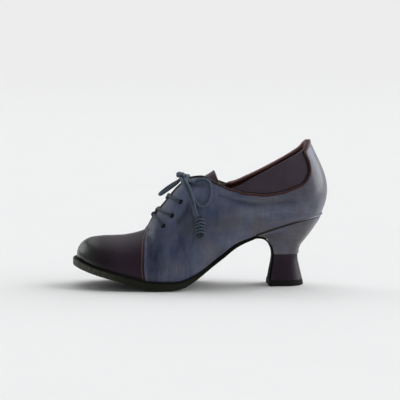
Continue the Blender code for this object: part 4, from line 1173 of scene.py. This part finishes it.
class SHOE_OT_vamp(bpy.types.Operator):
    """Embossed vamp over the toe, from the lateral welt over the ridge to the medial welt"""
    bl_idname = "shoe.vamp"
    bl_label = "Vamp"

    def execute(self, context):
        girth = np.linspace(-1, 1, 121)[None, :]
        t = FOOT_TUCK + (1 - FOOT_TUCK) * (1 - np.abs(girth))
        u = np.linspace(0, 1, 130)[:, None] * (front_rib(t) + VAMP_UNDER)
        side = np.where(girth < 0, LATERAL, MEDIAL) + 0 * u
        patch = Patchwork()
        patch.add(wall(u, t, side, VAMP_LIFT), uv=wall_uv(u, girth))
        vamp = patch.build("vamp", finish_of("plum"))
        thicken(vamp, sizes()["leather"])
        return {"FINISHED"}


class SHOE_OT_quarters(bpy.types.Operator):
    """Blue quarters of both sides, joined at the back, with their punched lace holes"""
    bl_idname = "shoe.quarters"
    bl_label = "Quarters"

    def execute(self, context):
        size = sizes()
        patch = Patchwork()
        walls = Patchwork()
        centres = []
        for side in SIDE_NAMES:
            for u, t, below, place in quarter_patches():
                rim = np.exp(-RIB_HEIGHT_MM * below / EDGE_RUB_MM) + 0 * u
                if place is not None:
                    rim = np.maximum(rim, np.exp(-place * QUARTER_MM / FRONT_RUB_MM))
                # Creases carry painted shade: their depth drives the rim attribute below zero.
                creases = crease_depth(upper_point(u, t, side), side)
                seam = BACK_SEAM_DEPTH * np.exp(-((BACK_RIB - u) / BACK_SEAM_SPREAD) ** 2)
                patch.add(wall(u, t, side, QUARTER_LIFT - seam), uv=wall_uv(u, t),
                          rim=np.clip(rim, 0, 1) - CREASE_SHADE * creases, flip=side == MEDIAL)
            centres.extend(wall(HOLE_RIBS, HOLE_UPS, side, QUARTER_LIFT))
            self.hole_walls(walls, side, size["hole"])
        patch.punch(np.array(centres), size["hole"])
        quarters = patch.build("quarters", finish_of("blue"))
        thicken(quarters, size["leather"])
        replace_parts(quarters, "upper")
        walls.build("lace_holes", finish_of("hole"))
        return {"FINISHED"}

    def hole_walls(self, patch, side, radius):
        """Inside of the holes: rings of the hole's radius from just over the leather down through it,
        closed by a point at the bottom."""
        centre = wall(HOLE_RIBS, HOLE_UPS, side, QUARTER_LIFT)
        out = upper_normal(HOLE_RIBS, HOLE_UPS, side)
        across = unit(np.cross(out, UP))
        up = np.cross(across, out)
        angle = np.linspace(0, 2 * np.pi, 25)[None, :-1, None]
        depth, share = np.array(HOLE_WALL).T[:, :, None, None]
        for c, n, a, b in zip(centre, out, across, up):
            ring = np.cos(angle) * a + np.sin(angle) * b
            patch.add(c + depth * n + share * radius * ring, around=True, flip=True)


class SHOE_OT_collar(bpy.types.Operator):
    """Embossed collar panels behind the scooped quarters, with their folded top edges"""
    bl_idname = "shoe.collar"
    bl_label = "Collar panels"

    def execute(self, context):
        u = np.linspace(*PANEL_RIBS, 100)[:, None]
        share = np.linspace(0, 1, 40)[None, :]
        scooped = np.where(u < QUARTER_TOP[-1][0], table_curve(QUARTER_TOP, u), SCOOP_BACK[0][0])
        low, top = scooped - PANEL_UNDER, table_curve(PANEL_TOP, u)
        t = low + share * (top - low)
        ribs = np.linspace(*FOLD_RIBS, 120)
        for side, name in SIDE_NAMES.items():
            patch = Patchwork()
            patch.add(wall(u, t, side, PANEL_LIFT), uv=wall_uv(u, t), flip=side == MEDIAL)
            panel = patch.build("collar_panel_" + name, finish_of("plum"))
            thicken(panel, sizes()["leather"])
            # The folded top edge takes a painted highlight.
            fold = Patchwork()
            edge = wall(ribs, table_curve(PANEL_TOP, ribs), side, PANEL_LIFT - FOLD_INSET)
            tube(fold, edge - FOLD_INSET * UP, FOLD_RADIUS, (0.0, 1.0, 0.0), sides=10)
            fold.build("collar_fold_" + name, finish_of("fold"), closed=True)
        return {"FINISHED"}


def quarter_edge():
    """Ribs and heights along the scooped edge: the top edge, the scoop's back, then the collar."""
    top = np.linspace(EDGE_RIB, QUARTER_TOP[-1][0], 150)
    rise = np.linspace(SCOOP_BACK[0][0], BACK_TOP, 75)[1:]
    back = np.linspace(float(table_curve(SCOOP_BACK, BACK_TOP)), BACK_RIB, 50)[1:]
    u = np.concatenate([top, table_curve(SCOOP_BACK, rise), back])
    t = np.concatenate([table_curve(QUARTER_TOP, top), rise, np.full_like(back, BACK_TOP)])
    return u, t


class SHOE_OT_piping(bpy.types.Operator):
    """Rolled piping along the collar and facings, and the edges of the quarters"""
    bl_idname = "shoe.piping"
    bl_label = "Piping"

    def execute(self, context):
        u, t = quarter_edge()
        self.collar(u, t, sizes()["piping"])
        scoop = (u > SCOOP_RIB) & (t < SCOOP_TOP)
        height = np.linspace(1.0, FOOT_TUCK, 90)
        front = front_rib(height)
        # The collar's groove strip paints shade and its thin cord paints a highlight.
        lines = dict(
            facing_piping=(np.linspace(*FACING_RIBS, 110), 1.0),
            collar_groove=(u, t), collar_cord=(u, t),
            front_edge=(front, height), front_cord=(front - FRONT_CORD_BEFORE, height))
        for side, name in SIDE_NAMES.items():
            along = unit(np.gradient(wall(u, t, side), axis=0))
            inward = unit(side * np.cross(upper_normal(u, t, side), along))
            for bead, (finish, radius, lift, inset) in BEADS.items():
                path = wall(*lines[bead], side, lift)
                if inset:
                    path = (path - inset * inward)[scoop]
                patch = Patchwork()
                tube(patch, path, radius, BEAD_UPRIGHT, sides=10)
                patch.build(bead + "_" + name, finish_of(finish), closed=True)
        return {"FINISHED"}

    def collar(self, u, t, radius):
        """Piping along the whole edge, lateral side first. Where the edge is the wall's own top it lies
        a radius lower. The path is the mean of five neighbours, and the cord swells towards the back
        seam by exp(-(distance / spread)^2)."""
        lateral, medial = (wall(u, t, side, PIPING_LIFT) for side in SIDE_NAMES)
        path = np.vstack([lateral, medial[-2::-1]])
        high, behind = (np.clip((place - start) / way, 0, 1)
                        for place, (start, way) in ((t, PIPING_HIGH), (u, PIPING_BEHIND)))
        lower = radius * high * behind
        path[:, 2] -= np.concatenate([lower, lower[-2::-1]])
        run = run_length(path)
        even = np.linspace(0, run[-1], int(run[-1] / PIPING_STEP))
        path = np.stack([np.interp(even, run, path[:, k]) for k in range(3)], axis=-1)
        near = np.pad(path, ((2, 2), (0, 0)), mode="edge")
        path = sum(near[k:k + len(path)] for k in range(5)) / 5
        swell = PIPING_SWELL * np.exp(-((path[:, 0] - path[:, 0].max()) / PIPING_SWELL_MM) ** 2)
        patch = Patchwork()
        tube(patch, path, radius + swell, PIPING_UPRIGHT)
        patch.build("collar_piping", finish_of("piping"), closed=True)


class SHOE_OT_stitching(bpy.types.Operator):
    """Stitch rows behind the front edges of the quarters and the tack at the throat"""
    bl_idname = "shoe.stitching"
    bl_label = "Stitching"

    def stitches(self, patch, u, t, side, length):
        """A row of stitches along ribs and heights: each is a short cord that leaves the leather,
        arches over it and goes back in; its height is a half sine along its length."""
        run = run_length(wall(u, t, side, QUARTER_LIFT))
        share = np.linspace(0, 1, 7)
        height = QUARTER_LIFT - STITCH_SINK + STITCH_ARCH * np.sin(np.pi * share)
        for start in np.arange(0.4, run[-1] - length, length * STITCH_PITCH):
            place = start + share * length
            ribs, ups = np.interp(place, run, u), np.interp(place, run, t)
            tube(patch, wall(ribs, ups, side, height), STITCH_RADIUS, BEAD_UPRIGHT, sides=6)

    def execute(self, context):
        length = sizes()["stitch"]
        patch = Patchwork()
        height = np.linspace(0.9, 0.02, 120)
        (tack_rib, tack_up), (rib_way, up_way) = TACK
        along = np.linspace(0, 1, 30)
        for side in SIDE_NAMES:
            self.stitches(patch, front_rib(height) + STITCH_BEHIND, height, side, length)
            self.stitches(patch, tack_rib + rib_way * along, tack_up + up_way * along, side,
                          0.8 * length)
        patch.build("quarter_stitches", finish_of("thread"), closed=True)
        return {"FINISHED"}


class SHOE_OT_lining(bpy.types.Operator):
    """Leather lining of the whole inside, its rolled top edge and the insole's cover"""
    bl_idname = "shoe.lining"
    bl_label = "Lining"

    def execute(self, context):
        patch = Patchwork()
        u = np.linspace(0.4, BACK_RIB, 150)[:, None]
        share = np.linspace(0, 1, 30)[None, :]
        t = share * table_curve(LINING_TOP, u)
        for side in SIDE_NAMES:
            patch.add(wall(u, t, side, LINING_LIFT), uv=wall_uv(u, t), flip=side == LATERAL)
        lining = patch.build("lining", finish_of("lining"))
        thicken(lining, LINING_THICK)
        ribs = np.linspace(ROLL_RIB, BACK_RIB, 170)
        top = table_curve(LINING_TOP, ribs)
        lateral, medial = (wall(ribs, top, side, LINING_LIFT + ROLL_INSET[side]) for side in SIDE_NAMES)
        bead = Patchwork()
        tube(bead, np.vstack([lateral, medial[-2::-1]]) - ROLL_RADIUS * UP, ROLL_RADIUS, PIPING_UPRIGHT)
        # The roll's finish paints a highlight along the far topline.
        bead.build("lining_roll", finish_of("topline"), closed=True)
        self.insole()
        return {"FINISHED"}

    def insole(self):
        """Cover of the insole: a plate inside the wall, a little dished, z = platform + thickness
        - dish (1 - across^2)."""
        u = np.concatenate([np.linspace(0.3, 1, 6)[:-1], np.linspace(1, BACK_RIB - 0.5, 90)])
        across = np.linspace(-1, 1, 25)[None, :]
        lateral, medial = (foot_point(u, side, -WALL - GAP)[:, None] for side in SIDE_NAMES)
        grid = lateral + (medial - lateral) * (0.5 + 0.5 * across)[..., None]
        grid[..., 2] = platform_z(grid[..., 0]) + INSOLE_RISE - INSOLE_DISH * (1 - across ** 2)
        patch = Patchwork()
        along = RIB_STEP_MM * u[:, None]
        patch.add(grid, uv=np.stack(np.broadcast_arrays(along, INSOLE_HALF_MM * across), axis=-1))
        cover = patch.build("insole_cover", finish_of("lining"))
        thicken(cover, INSOLE_THICK)
        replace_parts(cover, "insole")


class SHOE_OT_tongue(bpy.types.Operator):
    """Tongue under the facings with its free top and its bound edge"""
    bl_idname = "shoe.tongue"
    bl_label = "Tongue"

    def execute(self, context):
        across = np.linspace(-1, 1, TONGUE_COLUMNS)
        ribs = np.linspace(*TONGUE_RIBS, 56)
        under = throat_point(ribs[:, None], across[None, :], -WALL - TONGUE_CLEAR)
        top = smooth_curve(TONGUE_TOP, 28)[1:]
        back, rise, droop, width = (top[:, k, None] for k in range(4))
        free = np.broadcast_to(under[-1], (len(top), *under[-1].shape)).copy()
        free[..., 0] += back + droop * across ** 2
        free[..., 1] *= width
        free[..., 2] += rise - TONGUE_FALL * droop * across ** 2
        grid = np.vstack([under, free])
        patch = Patchwork()
        patch.add(grid)
        tongue = patch.build("tongue_leather", finish_of("plum"))
        thicken(tongue, TONGUE_THICK)
        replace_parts(tongue, "tongue")
        edge = Patchwork()
        outline = np.vstack([grid[BINDING_ROW:, 0], grid[-1, 1:-1], grid[BINDING_ROW:, -1][::-1]])
        tube(edge, outline - BINDING_DROP * UP, BINDING_RADIUS, (0.0, 0.3, 1.0), sides=10)
        edge.build("tongue_binding", finish_of("edge_pink"), closed=True)
        return {"FINISHED"}


def bar(patch, corners, radii, across):
    """Bar with rounded corners carried along stations: corners are four points of each station, in
    order around it, and the section is the bilinear patch of the corners traced along a rectangle
    whose corners are replaced by quarter circles of the given radii."""
    corners = np.asarray(corners, float)
    width = np.linalg.norm(corners[:, 1] - corners[:, 0], axis=-1)[:, None]
    thick = np.linalg.norm(corners[:, 3] - corners[:, 0], axis=-1)[:, None]
    arc = np.linspace(0, np.pi / 2, 5)[None, :]
    parts = []
    for k, (a0, b0) in enumerate(((0, 0), (1, 0), (1, 1), (0, 1))):
        r = np.minimum(radii[k], 0.45 * np.minimum(width, thick))
        turn = arc + np.pi + k * np.pi / 2
        middle_a = a0 + (1 - 2 * a0) * r / np.maximum(width, 1e-6)
        middle_b = b0 + (1 - 2 * b0) * r / np.maximum(thick, 1e-6)
        parts.append((middle_a + np.cos(turn) * r / np.maximum(width, 1e-6),
                      middle_b + np.sin(turn) * r / np.maximum(thick, 1e-6)))
    a, b = [], []
    for k in range(4):
        nxt = parts[(k + 1) % 4]
        f = np.linspace(0, 1, across if k % 2 == 0 else 6)[None, 1:-1]
        a += [parts[k][0], parts[k][0][:, -1:] * (1 - f) + nxt[0][:, :1] * f]
        b += [parts[k][1], parts[k][1][:, -1:] * (1 - f) + nxt[1][:, :1] * f]
    a, b = np.concatenate(a, axis=1)[..., None], np.concatenate(b, axis=1)[..., None]
    c = corners[:, :, None]
    grid = (c[:, 0] * (1 - a) + c[:, 1] * a) * (1 - b) + (c[:, 3] * (1 - a) + c[:, 2] * a) * b
    caps = [np.broadcast_to(corners[i].mean(axis=0), grid[:1].shape) for i in (0, -1)]
    patch.add(np.concatenate([caps[0], grid, caps[1]]), around=True)


class SHOE_OT_sole(bpy.types.Operator):
    """Outsole with its waist and the flap down the heel's breast, and the welt round the forepart"""
    bl_idname = "shoe.sole"
    bl_label = "Sole and welt"

    def execute(self, context):
        toe = TOE_RIB * np.linspace(0, 1, 24) ** 2.2 + 0.004
        stations = np.unique(np.concatenate([toe, np.linspace(TOE_RIB, SOLE_END, 150)]))
        welt = sole_value("welt", stations)
        hidden = table_curve(WELT_HIDDEN, stations) * np.clip(welt / WELT_SKIVED, 0, 1)
        under = GAP + welt - hidden
        margin, tread = sole_value("margin", stations), sole_value("tread_z", stations)
        lateral, medial = (foot_point(stations, side, margin) for side in SIDE_NAMES)
        high = platform_z(lateral[:, 0]) - under + table_curve(WAIST_LAP, stations)
        rows = [np.stack([p[:, 0], p[:, 1], z], axis=-1)
                for p, z in ((lateral, tread), (medial, tread), (medial, high), (lateral, high))]
        flap = smooth_curve(FLAP, 70)
        ends = [np.stack([flap[:, k], way * flap[:, 4], flap[:, k + 1]], axis=-1)
                for k, way in ((0, -1), (0, 1), (2, 1), (2, -1))]
        corners = np.stack([np.vstack(pair) for pair in zip(rows, ends)], axis=1)
        patch = Patchwork()
        rounding = SOLE_ROUND + TOE_ROUND * np.exp(-stations / TOE_ROUND_RIBS)
        bottom = np.concatenate([rounding, np.full(len(flap), FLAP_ROUND)])[:, None]
        bar(patch, corners, (bottom, bottom, TOP_ROUND, TOP_ROUND), across=22)
        outsole = patch.build("sole_leather", finish_of("sole"), closed=True)
        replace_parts(outsole, "outsole")
        self.welt()
        return {"FINISHED"}

    def welt(self):
        """Strip from the lateral waist round the toe to the medial waist."""
        toe = TOE_RIB * np.linspace(0, 1, 16) ** 2
        half = np.concatenate([toe, np.linspace(TOE_RIB, WELT_END, 100)[1:]])
        u = np.concatenate([half[::-1], half[1:]])
        side = np.concatenate([np.full(len(half), LATERAL), np.full(len(half) - 1, MEDIAL)])
        reach = np.minimum(WELT_REACH, sole_value("margin", u))
        outer, inner = foot_point(u, side, reach), foot_point(u, side, -WELT_INSIDE)
        thick = sole_value("welt", u) + WELT_SINK
        rows = []
        for point, drop in ((outer, thick), (outer, 0 * thick), (inner, 0 * thick), (inner, thick)):
            z = platform_z(point[:, 0]) - GAP + WELT_RISE - drop
            rows.append(np.stack([point[:, 0], point[:, 1], z], axis=-1))
        patch = Patchwork()
        bar(patch, np.stack(rows, axis=1), WELT_ROUND, across=8)
        strip = patch.build("welt_strip", finish_of("welt"), closed=True)
        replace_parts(strip, "welt")


def seat_ring(count=48, proud=SEAT_PROUD, lip=0.0):
    """Outline of the heel seat: the foot of the wall from the breast round the back, moved out by
    proud, and by lip more towards the back."""
    rows = np.arange(BACK_RIB + 1)
    first = np.interp(HEEL_COVER[0][0], rib_values(rows)["foot_x"], rows)
    u = np.linspace(first, BACK_RIB, count)
    out = proud + lip * np.exp(-((BACK_RIB - u) / SEAT_LIP_SPREAD) ** 2)
    rise = table_curve(SEAT_RISE, u)
    lateral, medial = (upper_point(u, rise, side) + foot_point(u, side, out) - foot_point(u, side)
                       for side in SIDE_NAMES)
    return np.vstack([lateral, medial[-2::-1]]) - GAP * UP


def heel_rings(levels, swell=None):
    """Outlines of heel levels: the seat's outline stretched to each level's breast, back and width,
    with swell millimetres added all round."""
    seat = seat_ring()
    levels = np.asarray(levels, float)
    swell = np.zeros(len(levels)) if swell is None else swell
    front_x, front_z, back_x, back_z, half = (levels[:, k, None] for k in range(5))
    share = ((seat[:, 0] - seat[0, 0]) / (seat[:, 0].max() - seat[0, 0]))[None, :]
    x = front_x + share * (back_x + swell[:, None] - front_x)
    y = seat[None, :, 1] * (half + swell[:, None]) / np.abs(seat[:, 1]).max()
    return np.stack([x, y, front_z + share * (back_z - front_z)], axis=-1)


class SHOE_OT_heel(bpy.types.Operator):
    """Spool heel: blue cover with a folded lower edge, plum cuff, black top lift and the seat's rim"""
    bl_idname = "shoe.heel"
    bl_label = "Heel"

    def body(self, name, rings, finish, slot, node):
        """Closed body through rings, with both ends closed to their middles."""
        first, last = (np.broadcast_to(rings[i].mean(axis=0), rings[:1].shape) for i in (0, -1))
        patch = Patchwork()
        patch.add(np.concatenate([first, rings, last]), around=True)
        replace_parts(patch.build(name, finish_of(finish), closed=True), node)

    def execute(self, context):
        levels = smooth_curve(HEEL_COVER, 60)
        down = np.linspace(0, 1, 60)
        swell = sum(amount * np.exp(-((down - place) / spread) ** 2)
                    for amount, place, spread in COVER_FOLD)
        rings = heel_rings(levels, swell)
        blend = np.clip(1 - down / COVER_BLEND, 0, 1)[:, None, None] ** 2
        rings = rings * (1 - blend) + (seat_ring(proud=SEAT_INSET) + COVER_RISE * UP) * blend
        self.body("heel_cover", rings, "blue", "blue_leather", "heel_block")
        rings = heel_rings(smooth_curve(HEEL_CUFF, 36))
        self.body("cuff_cover", rings, "plum", "plum_leather", "heel_cuff")
        top, ground = np.array(TOP_LIFT, float)
        share, swell = np.array(LIFT_EDGES).T
        levels = top + share[:, None] * (ground - top)
        self.body("lift_pad", heel_rings(levels, swell), "rubber", "heel_rubber", "top_lift")
        # The groove bead is a black strip of painted shade under the upper's edge.
        for name, (finish, rise, proud, lip, radius) in SEAT_BEADS.items():
            rim = Patchwork()
            tube(rim, seat_ring(90, proud, lip) + rise * UP, radius, UP, sides=8)
            rim.build(name, finish_of(finish), closed=True)
        return {"FINISHED"}


class SHOE_PT_panel(bpy.types.Panel):
    """Lists the shoe's sizes, colours and pieces"""
    bl_idname = "SHOE_PT_panel"
    bl_label = "Dress shoe"
    bl_space_type = "VIEW_3D"
    bl_region_type = "UI"
    bl_category = "Shoe"

    def draw(self, context):
        for group in (context.scene.shoe_sizes, context.scene.shoe_colours):
            for name in group.__annotations__:
                self.layout.prop(group, name)
        for piece in PIECES:
            self.layout.operator(piece.bl_idname)


PIECES = (SHOE_OT_stage, SHOE_OT_bow, SHOE_OT_lacing, SHOE_OT_vamp, SHOE_OT_quarters, SHOE_OT_collar,
          SHOE_OT_piping, SHOE_OT_stitching, SHOE_OT_lining, SHOE_OT_tongue, SHOE_OT_sole, SHOE_OT_heel)
CLASSES = (ShoeSizes, ShoeColours, *PIECES, SHOE_PT_panel)


def register():
    for part in CLASSES:
        bpy.utils.register_class(part)
    bpy.types.Scene.shoe_sizes = PointerProperty(type=ShoeSizes)
    bpy.types.Scene.shoe_colours = PointerProperty(type=ShoeColours)


def unregister():
    del bpy.types.Scene.shoe_colours
    del bpy.types.Scene.shoe_sizes
    for part in reversed(CLASSES):
        bpy.utils.unregister_class(part)


def main():
    """Register the add-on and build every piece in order."""
    for old in [o for o in bpy.data.objects if o.type in ("CAMERA", "LIGHT") or o.name == "Cube"]:
        bpy.data.objects.remove(old)
    register()
    for piece in PIECES:
        group, name = piece.bl_idname.split(".")
        getattr(getattr(bpy.ops, group), name)()


if __name__ == "__main__":
    main()
